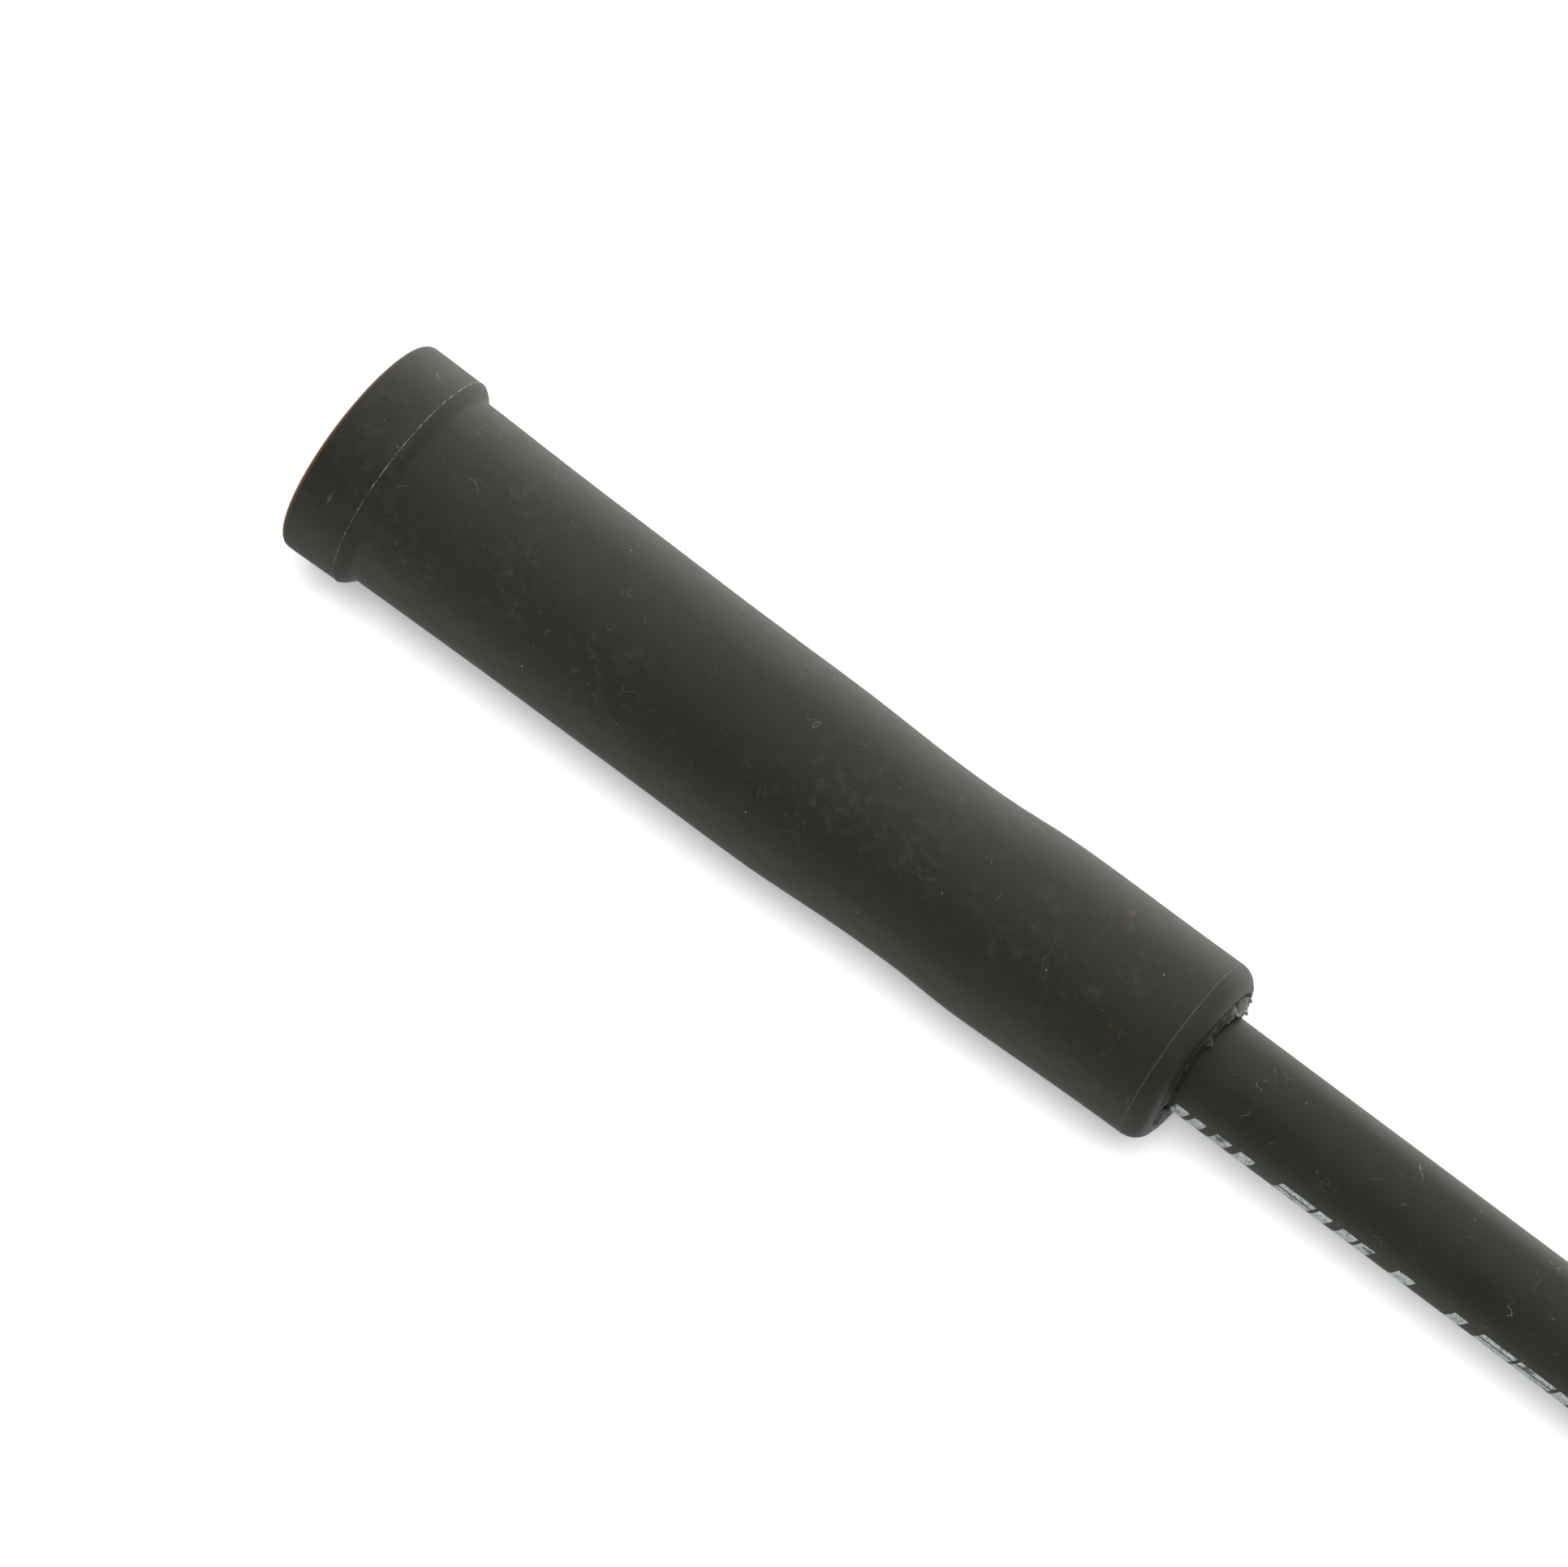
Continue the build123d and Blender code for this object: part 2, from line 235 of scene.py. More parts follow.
# lint and scuffs: short pieces of the thin curling lines where a noise crosses its middle value
curl = add(
    tree, "ShaderNodeTexNoise", {"Scale": 0.7, "Detail": 1, "Distortion": 0.7}, {0: in_mm.outputs[0]},
)
curl_off = add(tree, "ShaderNodeMath", {"operation": "SUBTRACT", 1: 0.5}, {0: curl.outputs["Fac"]})
curl_size = add(tree, "ShaderNodeMath", {"operation": "ABSOLUTE"}, {0: curl_off.outputs[0]})
curl_line = add(tree, "ShaderNodeMath", {"operation": "LESS_THAN", 1: 0.004}, {0: curl_size.outputs[0]})
curl_patch = add(
    tree, "ShaderNodeTexNoise", {"noise_dimensions": "4D", "Scale": 0.8, "Detail": 0, "W": 4.0},
    {0: in_mm.outputs[0]},
)
curl_few = add(
    tree, "ShaderNodeMath", {"operation": "GREATER_THAN", 1: 0.66}, {0: curl_patch.outputs["Fac"]},
)
lint = add(
    tree, "ShaderNodeMath", {"operation": "MULTIPLY"}, {0: curl_line.outputs[0], 1: curl_few.outputs[0]},
)
marks = add(tree, "ShaderNodeMath", {"operation": "MAXIMUM"}, {0: dust.outputs[0], 1: lint.outputs[0]})
marks_share = add(tree, "ShaderNodeMath", {"operation": "MULTIPLY", 1: 0.3}, {0: marks.outputs[0]})
dusty = add(
    tree, "ShaderNodeMix", {"data_type": "RGBA"},
    {0: marks_share.outputs[0], 6: bloom_colour.outputs[0]},
)
dusty.inputs[7].default_value = linear("#8F918A")
# the print: a band 2.65 mm high on the flank, cut into slanted bars that repeat every 37 mm.
# Each bar: start and end in millimetres, then 1 for a whole bar and 0.7 for one with a thin slit
# along it. Heights are millimetres round the lead, counted from its top.
print_repeat = 37.0
print_bars = [(1.05, 2.13, 1), (2.95, 4.27, 1), (5.0, 6.22, 1), (8.6, 11.5, 0.7), (11.8, 12.88, 1)]
print_bars += [(13.8, 15.05, 1), (15.43, 16.62, 1), (18.6, 20.0, 1), (23.28, 24.5, 1), (25.73, 28.69, 0.7)]
print_bars += [(29.0, 32.03, 0.7), (32.32, 33.6, 1), (36.5, 37.0, 1)]
first_bar_end = 0.62
print_slant = 0.39
slant_from = 6.2
print_top = 4.10
print_foot = 6.75
slit_middle = 4.78
slit_half = 0.11
lean = add(
    tree, "ShaderNodeMath", {"operation": "MULTIPLY_ADD", 1: print_slant},
    {0: along.outputs[1], 2: along.outputs[0]},
)
lean_start = add(
    tree, "ShaderNodeMath", {"operation": "SUBTRACT", 1: print_slant * slant_from}, {0: lean.outputs[0]},
)
lean_part = add(tree, "ShaderNodeMath", {"operation": "DIVIDE", 1: print_repeat}, {0: lean_start.outputs[0]})
lean_wrap = add(tree, "ShaderNodeMath", {"operation": "FRACT"}, {0: lean_part.outputs[0]})
bars = add(tree, "ShaderNodeValToRGB", links={0: lean_wrap.outputs[0]})
bars.color_ramp.interpolation = "CONSTANT"
stops = {}
for start, end, height in print_bars:
    stops[start / print_repeat] = height
for start, end, height in print_bars[:-1]:
    stops.setdefault(end / print_repeat, 0)
stops[first_bar_end / print_repeat] = 0
bars.color_ramp.elements.remove(bars.color_ramp.elements[1])
# the last bar runs on over the end of the repeat, so the ramp starts inked
bars.color_ramp.elements[0].color = (1, 1, 1, 1)
for position in sorted(stops):
    stop = bars.color_ramp.elements.new(position)
    stop.color = (stops[position], stops[position], stops[position], 1)
down = along.outputs[1]
below_top = add(tree, "ShaderNodeMath", {"operation": "GREATER_THAN", 1: print_top}, {0: down})
above_foot = add(tree, "ShaderNodeMath", {"operation": "LESS_THAN", 1: print_foot}, {0: down})
band = add(
    tree, "ShaderNodeMath", {"operation": "MULTIPLY"},
    {0: below_top.outputs[0], 1: above_foot.outputs[0]},
)
whole = add(tree, "ShaderNodeMath", {"operation": "GREATER_THAN", 1: 0.5}, {0: bars.outputs[0]})
slit_bar = add(tree, "ShaderNodeMath", {"operation": "COMPARE", 1: 0.7, 2: 0.1}, {0: bars.outputs[0]})
slit_place = add(tree, "ShaderNodeMath", {"operation": "COMPARE", 1: slit_middle, 2: slit_half}, {0: down})
slit = add(
    tree, "ShaderNodeMath", {"operation": "MULTIPLY"},
    {0: slit_bar.outputs[0], 1: slit_place.outputs[0]},
)
open_ink = add(tree, "ShaderNodeMath", {"operation": "SUBTRACT"}, {0: whole.outputs[0], 1: slit.outputs[0]})
# the ink is thin: it misses pinholes and is rubbed away in places
wear = add(tree, "ShaderNodeTexNoise", {"Scale": 5.0, "Detail": 3, "Roughness": 0.7}, {0: in_mm.outputs[0]})
wear_left = add(tree, "ShaderNodeMapRange", {1: 0.34, 2: 0.46, 3: 0.25, 4: 1.0}, {0: wear.outputs["Fac"]})
rub = add(tree, "ShaderNodeTexNoise", {"Scale": 0.9, "Detail": 2}, {0: in_mm.outputs[0]})
rub_left = add(tree, "ShaderNodeMapRange", {1: 0.30, 2: 0.40, 3: 0.2, 4: 1.0}, {0: rub.outputs["Fac"]})
thin_ink = add(
    tree, "ShaderNodeMath", {"operation": "MULTIPLY"}, {0: wear_left.outputs[0], 1: rub_left.outputs[0]},
)
banded = add(tree, "ShaderNodeMath", {"operation": "MULTIPLY"}, {0: open_ink.outputs[0], 1: band.outputs[0]})
ink = add(
    tree, "ShaderNodeMath", {"operation": "MULTIPLY", "use_clamp": True},
    {0: banded.outputs[0], 1: thin_ink.outputs[0]},
)
ink_colour = add(tree, "ShaderNodeValToRGB", links={0: wear.outputs["Fac"]})
ink_colour.color_ramp.elements[0].position = 0.4
ink_colour.color_ramp.elements[0].color = linear("#8E9698")
ink_colour.color_ramp.elements[1].position = 0.62
ink_colour.color_ramp.elements[1].color = linear("#B9C1C3")
printed = add(
    tree, "ShaderNodeMix", {"data_type": "RGBA"},
    {0: ink.outputs[0], 6: dusty.outputs[2], 7: ink_colour.outputs[0]},
)
tree.links.new(printed.outputs[2], shader.inputs["Base Color"])
jacket_rough = add(tree, "ShaderNodeMapRange", {1: 0.3, 2: 0.7, 3: 0.42, 4: 0.5}, {0: bloom.outputs["Fac"]})
tree.links.new(jacket_rough.outputs[0], shader.inputs["Roughness"])
shader.inputs["IOR"].default_value = 1.48
olive_gloss = (1.0, 1.0, 0.84, 1)
shader.inputs["Specular Tint"].default_value = olive_gloss
pores = add(
    tree, "ShaderNodeTexNoise", {"Scale": 3.0, "Detail": 4, "Roughness": 0.65}, {0: in_mm.outputs[0]},
)
pore_bump = add(
    tree, "ShaderNodeBump", {"Strength": 0.12, "Distance": 0.05 * mm}, {"Height": pores.outputs["Fac"]},
)
ink_bump = add(
    tree, "ShaderNodeBump", {"Strength": 0.5, "Distance": 0.03 * mm},
    {"Height": ink.outputs[0], "Normal": pore_bump.outputs[0]},
)
tree.links.new(ink_bump.outputs[0], shader.inputs["Normal"])

lead = lead_tube("lead", centres, lead_r, lead_sides)
face_outward(lead, 50)
finish_with(lead, jacket_rubber)
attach(lead, "lead")
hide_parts("lead_straight", "lead_coil", "lead_tail")

# The tie round the coil: a black nylon cable tie, moulded in one piece, pulled tight round both
# layers of the lead with its head on the inside of the coil and its tail snipped off short.
tie_wide = 4.8 * mm
tie_thick = 1.1 * mm
tie_x = 157.0 * mm
tie_gap = 4.2 * mm
hair = 0.01 * mm
tie_low = coil_height(90)
tie_high = coil_height(450)
bpy.ops.object.select_all(action="DESELECT")
bpy.ops.mesh.primitive_circle_add(
    vertices=48,
    radius=tie_gap,
    location=(tie_x, coil_centre.y - tie_wide / 2, tie_low),
    rotation=(math.pi / 2, 0, 0),
)
coil_tie = bpy.context.active_object
coil_tie.name = "coil_tie_strap"
bpy.ops.object.transform_apply(location=True, rotation=True, scale=True)
edit(coil_tie)
bpy.ops.object.mode_set(mode="OBJECT")
for vertex in coil_tie.data.vertices:
    vertex.select = vertex.co.z > tie_low + hair
bpy.ops.object.mode_set(mode="EDIT")
bpy.ops.transform.translate(value=(0, 0, tie_high - tie_low))
bpy.ops.mesh.select_all(action="SELECT")
for share in (0.08, 0.84, 0.08):
    bpy.ops.mesh.extrude_edges_move(TRANSFORM_OT_translate={"value": (0, tie_wide * share, 0)})
bpy.ops.mesh.select_all(action="SELECT")
bpy.ops.mesh.remove_doubles(threshold=0.001 * mm)
bpy.ops.mesh.normals_make_consistent(inside=False)
bpy.ops.object.mode_set(mode="OBJECT")
# the strap is thinner along its two edges
for vertex in coil_tie.data.vertices:
    if abs(abs(vertex.co.y - coil_centre.y) - tie_wide / 2) < hair:
        middle = Vector((tie_x, vertex.co.y, min(max(vertex.co.z, tie_low), tie_high)))
        vertex.co += 0.25 * mm * (vertex.co - middle).normalized()
wall = coil_tie.modifiers.new("wall", "SOLIDIFY")
wall.thickness = tie_thick
wall.offset = 1.0
edge = coil_tie.modifiers.new("edge", "BEVEL")
edge.width = 0.18 * mm
edge.segments = 2
edge.limit_method = "ANGLE"
for name in ("wall", "edge"):
    bpy.ops.object.modifier_apply(modifier=name)

head_size = (4.6 * mm, 5.4 * mm, 6.0 * mm)
head_x = tie_x - tie_gap - head_size[0] / 2
head_z = (tie_low + tie_high) / 2
bpy.ops.object.select_all(action="DESELECT")
bpy.ops.mesh.primitive_cube_add(size=1, location=(head_x, coil_centre.y, head_z), scale=head_size)
tie_head = bpy.context.active_object
tie_head.name = "coil_tie_head"
bpy.ops.object.transform_apply(location=True, rotation=True, scale=True)
edit(tie_head)
bpy.ops.object.mode_set(mode="OBJECT")
for face in tie_head.data.polygons:
    face.select = abs(face.normal.z) > 0.9
bpy.ops.object.mode_set(mode="EDIT")
bpy.ops.mesh.inset(thickness=0.9 * mm, use_individual=True)
bpy.ops.mesh.extrude_region_shrink_fatten(TRANSFORM_OT_shrink_fatten={"value": -1.2 * mm})
bpy.ops.object.mode_set(mode="OBJECT")
edge = tie_head.modifiers.new("edge", "BEVEL")
edge.width = 0.35 * mm
edge.segments = 3
bpy.ops.object.modifier_apply(modifier="edge")

# the snipped tail stands out of the head, with the moulded teeth that the pawl grips
bpy.ops.object.select_all(action="DESELECT")
tail_size = (1.1 * mm, 2.6 * mm, 6.4 * mm)
tail_top = head_z + 5.1 * mm
tooth_pitch = 0.35 * mm
tooth_deep = 0.35 * mm
tooth_cuts = 8
bpy.ops.mesh.primitive_cube_add(
    size=1, location=(head_x, coil_centre.y, tail_top - tail_size[2] / 2), scale=tail_size,
)
tie_tail = bpy.context.active_object
tie_tail.name = "coil_tie_tail"
bpy.ops.object.transform_apply(location=True, rotation=True, scale=True)
edit(tie_tail)
for cut in range(1, tooth_cuts + 1):
    cut_z = tail_top - tooth_pitch * cut
    bpy.ops.mesh.select_all(action="SELECT")
    bpy.ops.mesh.bisect(plane_co=(head_x, coil_centre.y, cut_z), plane_no=(0, 0, 1))
bpy.ops.object.mode_set(mode="OBJECT")
for vertex in tie_tail.data.vertices:
    rung = round((tail_top - vertex.co.z) / tooth_pitch)
    if vertex.co.x > head_x and 0 < rung <= tooth_cuts and rung % 2:
        vertex.co.x -= tooth_deep
    if rung == 0 and vertex.co.y > coil_centre.y:
        vertex.co.z -= 0.3 * mm

# PA66 nylon, injection moulded: smooth and slightly glossy, with a faint flow pattern
nylon, tree, shader = new_material("moulded_nylon")
place = add(tree, "ShaderNodeTexCoord")
flow = add(
    tree, "ShaderNodeTexNoise", {"Scale": 900, "Detail": 3, "Distortion": 0.8},
    {0: place.outputs["Object"]},
)
flow_colour = add(tree, "ShaderNodeValToRGB", links={0: flow.outputs["Fac"]})
flow_colour.color_ramp.elements[0].color = linear("#17171A")
flow_colour.color_ramp.elements[1].color = linear("#2A2A2D")
tree.links.new(flow_colour.outputs[0], shader.inputs["Base Color"])
flow_rough = add(tree, "ShaderNodeMapRange", {1: 0.3, 2: 0.7, 3: 0.32, 4: 0.46}, {0: flow.outputs["Fac"]})
tree.links.new(flow_rough.outputs[0], shader.inputs["Roughness"])
shader.inputs["IOR"].default_value = 1.53
mould = add(tree, "ShaderNodeTexNoise", {"Scale": 4000, "Detail": 2}, {0: place.outputs["Object"]})
mould_bump = add(
    tree, "ShaderNodeBump", {"Strength": 0.15, "Distance": 0.03 * mm}, {"Height": mould.outputs["Fac"]},
)
tree.links.new(mould_bump.outputs[0], shader.inputs["Normal"])
for piece in (coil_tie, tie_head, tie_tail):
    face_outward(piece, 35)
    finish_with(piece, nylon)
    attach(piece, "lead")
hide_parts("coil_tie")

# The plug boot: a straight sleeve with a collar at its mouth, compression moulded in one piece
# from black rubber. It grips the plug's porcelain with two sealing ribs and the lead with its tail.
# Its flash was torn off round the tail's bore, and the sleeve has shrunk onto the lead inside it.
turn_steps = 160


def lathe(name, profile, start, axis_y, axis_z):
    """A hollow turned piece: a closed profile of (along, radius) in millimetres, spun round X."""
    bpy.ops.object.select_all(action="DESELECT")
    bpy.ops.mesh.primitive_plane_add(size=mm, location=(0, 0, 0))
    piece = bpy.context.active_object
    piece.name = name
    bpy.ops.object.mode_set(mode="EDIT")
    bpy.ops.mesh.merge(type="CENTER")
    along, radius = profile[0]
    bpy.ops.transform.translate(value=(start + along * mm, axis_y, axis_z + radius * mm))
    for next_along, next_radius in [*profile[1:], profile[0]]:
        step = ((next_along - along) * mm, 0, (next_radius - radius) * mm)
        bpy.ops.mesh.extrude_region_move(TRANSFORM_OT_translate={"value": step})
        along, radius = next_along, next_radius
    bpy.ops.mesh.select_all(action="SELECT")
    bpy.ops.mesh.remove_doubles(threshold=0.001 * mm)
    bpy.ops.mesh.select_all(action="SELECT")
    bpy.ops.mesh.spin(steps=turn_steps, angle=2 * math.pi, center=(start, axis_y, axis_z), axis=(1, 0, 0))
    bpy.ops.mesh.select_all(action="SELECT")
    bpy.ops.mesh.remove_doubles(threshold=0.001 * mm)
    bpy.ops.mesh.normals_make_consistent(inside=False)
    bpy.ops.object.mode_set(mode="OBJECT")
    return piece


def rounded(centre, radius, start, end, steps=6):
    """Points on an arc of the profile, from one angle to another, in degrees."""
    turns = [math.radians(start + (end - start) * k / steps) for k in range(steps + 1)]
    return [(centre[0] + radius * math.cos(t), centre[1] + radius * math.sin(t)) for t in turns]


# the half section, as millimetres along and radius, outside first: the mouth and its collar
boot_profile = [(0.35, 6.35), (0.08, 6.6), (0, 6.9), (0, 7.95)]
boot_profile += rounded((0.55, 8.05), 0.55, 180, 90)
boot_profile += [(1.5, 8.59), (2.5, 8.57), (3.5, 8.54), (4.3, 8.52), (4.7, 8.515), (4.77, 8.535)]
# the step behind the collar
boot_profile += [(4.81, 8.54), (4.86, 8.505), (4.96, 8.46), (5.08, 8.38), (5.28, 8.22), (5.48, 7.99)]
boot_profile += [(5.64, 7.82), (5.75, 7.725), (5.84, 7.675), (6.0, 7.655), (6.4, 7.65), (7.5, 7.635)]
# the sleeve, narrowing to a waist and swelling again over the lead
boot_profile += [(9.5, 7.6), (11.6, 7.565), (14.5, 7.52), (17.5, 7.48), (20.5, 7.455), (23.3, 7.435)]
boot_profile += [(26.2, 7.41), (29.2, 7.39), (32, 7.395), (35, 7.4), (37.5, 7.4), (39.4, 7.385)]
boot_profile += [(40.9, 7.36), (42.35, 7.31), (43.8, 7.25), (45.3, 7.19), (46.8, 7.135), (48.2, 7.095)]
boot_profile += [(49.7, 7.068), (51.1, 7.06), (52.6, 7.07), (54.1, 7.11), (55.5, 7.19), (57, 7.28)]
boot_profile += [(58.4, 7.325), (59.9, 7.335), (61.4, 7.32), (62.9, 7.3), (65, 7.265), (67.25, 7.235)]
boot_profile += [(69.5, 7.21), (71.4, 7.195)]
# these places come out half a per cent nearer the mouth than they are listed
outside_share = 0.9946
boot_profile = [(outside_share * along, radius) for along, radius in boot_profile]
# a fine raised line round the tail, and its rounded end
boot_profile += [(72.5, 7.192), (72.58, 7.204), (72.66, 7.204), (72.72, 7.19)]
boot_profile += rounded((72.64, 5.6), 1.58, 84, 6, 12)
# the crack round the torn flash, and the flash down to the bore
boot_profile += [(74.12, 5.68), (73.95, 5.6), (73.92, 5.53), (74.06, 5.46), (74.28, 5.4), (74.34, 5.28)]
boot_profile += [(74.37, 5.1), (74.38, 4.9), (74.4, 4.7), (74.44, 4.52), (74.46, 4.38), (74.38, 4.26)]
boot_profile += [(74.2, 4.16), (73.9, 4.1), (73.4, 4.08), (70, 4.08), (65, 4.08), (59.5, 4.08)]
# the bore for the terminal, and two grooves near the mouth that leave the sealing ribs
boot_profile += [(57, 4.9), (50, 4.9), (40, 4.9), (26.2, 4.9), (26, 5.1), (20, 5.1), (12, 5.1), (8.6, 5.1)]
boot_profile += rounded((8.1, 5.3), 0.3, 0, 90, 3) + rounded((7.3, 5.3), 0.3, 90, 180, 3)
boot_profile += [(6.8, 5.12), (6.2, 5.1), (5.6, 5.12)]
boot_profile += rounded((5.1, 5.3), 0.3, 0, 90, 3) + rounded((4.3, 5.3), 0.3, 90, 180, 3)
boot_profile += [(3.8, 5.12), (3.0, 5.1), (2.0, 5.1), (1.0, 5.6)]
plug_boot = lathe("plug_boot_sleeve", boot_profile, mouth_x, 0, plug_z)

# the sleeve isn't quite straight: millimetres from the mouth, then sideways
boot_bow = [(0, 0.25), (4.3, 0.22), (20.4, 0.0), (30, -0.14), (40.9, -0.25), (51.1, -0.24)]
boot_bow += [(61.4, -0.14), (74.5, -0.11)]


def bow_at(along):
    """How far the sleeve bows sideways at a place along it, in millimetres."""
    for (start, low), (end, high) in zip(boot_bow, boot_bow[1:]):
        if along <= end:
            return low + (high - low) * (along - start) / (end - start)
    return boot_bow[-1][1]


def zero_to_one(value):
    """A value held between 0 and 1."""
    return min(max(value, 0), 1)


# the flash tore off round the bore: proud on the +Y side, notched on the other, and nearly flush
# with a fine ragged edge between the two. Sizes are in millimetres, angles in degrees.
flash_from = 73.88
flash_r = 5.58
flash_bore_r = 4.12
flash_ease = 0.2


def near_angle(turn, middle, width):
    """1 at an angle round the bore, fading smoothly away on both sides of it."""
    return math.exp(-(((math.degrees(turn) - middle) / width) ** 2))


def tear(turn, radius):
    """How far the torn flash moves along the lead, and outward, at a place on its ring."""
    proud = near_angle(turn, 74, 28)
    notch = near_angle(turn, -80, 18)
    chip = near_angle(turn, 17, 6)
    y, z = math.sin(turn), math.cos(turn)
    tooth = noise.noise(Vector((y * 9, z * 9, radius * 1.2)))
    tooth += 0.7 * noise.noise(Vector((y * 26, z * 26, radius * 3.5)))
    along = 0.3 * proud - 0.5 * notch + 0.15 * chip - 0.04
    along += (0.1 + 0.22 * proud + 0.05 * notch) * tooth
    outward = (0.05 + 0.06 * proud) * tooth
    along *= zero_to_one((flash_r - radius) / flash_ease)
    outward *= zero_to_one((radius - flash_bore_r) / flash_ease)
    return along, outward


# moulded rubber isn't quite true, but its bore, inside 5 mm, stays round. The outside wanders a
# little; its front is wider than it is high; and its mouth isn't quite square.
true_bore_r = 5.0
wander = 0.05
front_wider = 0.07
middle_wider = 0.02
mouth_skew = 0.015
mouth_back = 0.12
for vertex in plug_boot.data.vertices:
    spot = vertex.co
    along = (spot.x - mouth_x) / mm
    out = Vector((0, spot.y, spot.z - plug_z))
    radius = out.length / mm
    out.normalize()
    turn = math.atan2(out.y, out.z)
    if radius > true_bore_r and along < 74:
        skin = min((radius - true_bore_r) / 1.5, 1)
        rough = noise.noise(Vector((along * 0.09, math.sin(turn) * 0.9, math.cos(turn) * 0.9)))
        spot += out * (wander * mm * rough * skin)
        spot.y += bow_at(along) * mm * skin
        spot.y += out.y * skin * mm * front_wider * zero_to_one((30 - along) / 12)
        spot.y += out.y * skin * mm * middle_wider * zero_to_one((56 - along) / 6)
        spot.x += (spot.y - 0.2 * mm) * mouth_skew * zero_to_one((12 - along) / 6)
    spot.x += mouth_back * mm * max(1 - along / 30, 0)
    if along > flash_from and radius < flash_r:
        torn_along, torn_out = tear(turn, radius)
        spot.x += torn_along * mm
        spot += out * (torn_out * mm)
face_outward(plug_boot, 42)

# EPDM rubber, compression moulded: a matt charcoal with a slight olive cast. A grey bloom clouds
# it in drifts, and handling has left dust, pale scratches and a few rusty brown flecks.
boot_rubber, tree, shader = new_material("moulded_epdm_rubber")
place = add(tree, "ShaderNodeTexCoord")
in_mm = add(
    tree, "ShaderNodeVectorMath", {"operation": "SCALE", "Scale": 1000}, {0: place.outputs["Object"]},
)
spread = add(tree, "ShaderNodeMapping", {"Scale": (0.35, 1, 1)}, {0: in_mm.outputs[0]})
drift = add(
    tree, "ShaderNodeTexNoise", {"Scale": 0.10, "Detail": 5, "Roughness": 0.55}, {0: spread.outputs[0]},
)
drift_colour = add(tree, "ShaderNodeValToRGB", links={0: drift.outputs["Fac"]})
drift_colour.color_ramp.elements[0].position = 0.34
drift_colour.color_ramp.elements[0].color = linear("#1A1915")
drift_colour.color_ramp.elements[1].position = 0.68
drift_colour.color_ramp.elements[1].color = linear("#201F1B")
# bloom wiped into fine cloudy patches, a few millimetres across
cloud = add(
    tree, "ShaderNodeTexNoise", {"Scale": 0.9, "Detail": 6, "Roughness": 0.7}, {0: in_mm.outputs[0]},
)
cloud_patch = add(tree, "ShaderNodeTexNoise", {"Scale": 0.16, "Detail": 2}, {0: in_mm.outputs[0]})
cloud_high = add(tree, "ShaderNodeMapRange", {1: 0.5, 2: 0.8, 3: 0.0, 4: 1.0}, {0: cloud.outputs["Fac"]})
patch_high = add(
    tree, "ShaderNodeMapRange", {1: 0.48, 2: 0.66, 3: 0.1, 4: 0.5}, {0: cloud_patch.outputs["Fac"]},
)
cloudy = add(
    tree, "ShaderNodeMath", {"operation": "MULTIPLY"},
    {0: cloud_high.outputs[0], 1: patch_high.outputs[0]},
)
clouded = add(
    tree, "ShaderNodeMix", {"data_type": "RGBA"}, {0: cloudy.outputs[0], 6: drift_colour.outputs[0]},
)
clouded.inputs[7].default_value = linear("#45453F")
# dust: grains about 0.1 mm across, one in each few cells of 1.1 mm
grains = add(tree, "ShaderNodeTexVoronoi", {"Scale": 0.9, "Randomness": 1.0}, {0: in_mm.outputs[0]})
grain_pick = add(tree, "ShaderNodeSeparateXYZ", links={0: grains.outputs["Color"]})
grain_size = add(tree, "ShaderNodeMath", {"operation": "MULTIPLY", 1: 0.075}, {0: grain_pick.outputs[1]})
grain_dot = add(
    tree, "ShaderNodeMath", {"operation": "LESS_THAN"},
    {0: grains.outputs["Distance"], 1: grain_size.outputs[0]},
)
grain_few = add(tree, "ShaderNodeMath", {"operation": "GREATER_THAN", 1: 0.62}, {0: grain_pick.outputs[0]})
dust = add(
    tree, "ShaderNodeMath", {"operation": "MULTIPLY"},
    {0: grain_dot.outputs[0], 1: grain_few.outputs[0]},
)
dust_share = add(tree, "ShaderNodeMath", {"operation": "MULTIPLY", 1: 0.5}, {0: dust.outputs[0]})
dusted = add(tree, "ShaderNodeMix", {"data_type": "RGBA"}, {0: dust_share.outputs[0], 6: clouded.outputs[2]})
dusted.inputs[7].default_value = linear("#8C8D84")
# rusty flecks, fewer and softer than the dust
flecks = add(tree, "ShaderNodeTexVoronoi", {"Scale": 0.28, "Randomness": 1.0}, {0: in_mm.outputs[0]})
fleck_soft = add(
    tree, "ShaderNodeMapRange", {1: 0.02, 2: 0.10, 3: 0.45, 4: 0.0}, {0: flecks.outputs["Distance"]},
)
fleck_pick = add(tree, "ShaderNodeSeparateXYZ", links={0: flecks.outputs["Color"]})
fleck_few = add(tree, "ShaderNodeMath", {"operation": "GREATER_THAN", 1: 0.55}, {0: fleck_pick.outputs[0]})
fleck = add(
    tree, "ShaderNodeMath", {"operation": "MULTIPLY"},
    {0: fleck_soft.outputs[0], 1: fleck_few.outputs[0]},
)
flecked = add(tree, "ShaderNodeMix", {"data_type": "RGBA"}, {0: fleck.outputs[0], 6: dusted.outputs[2]})
flecked.inputs[7].default_value = linear("#66482C")
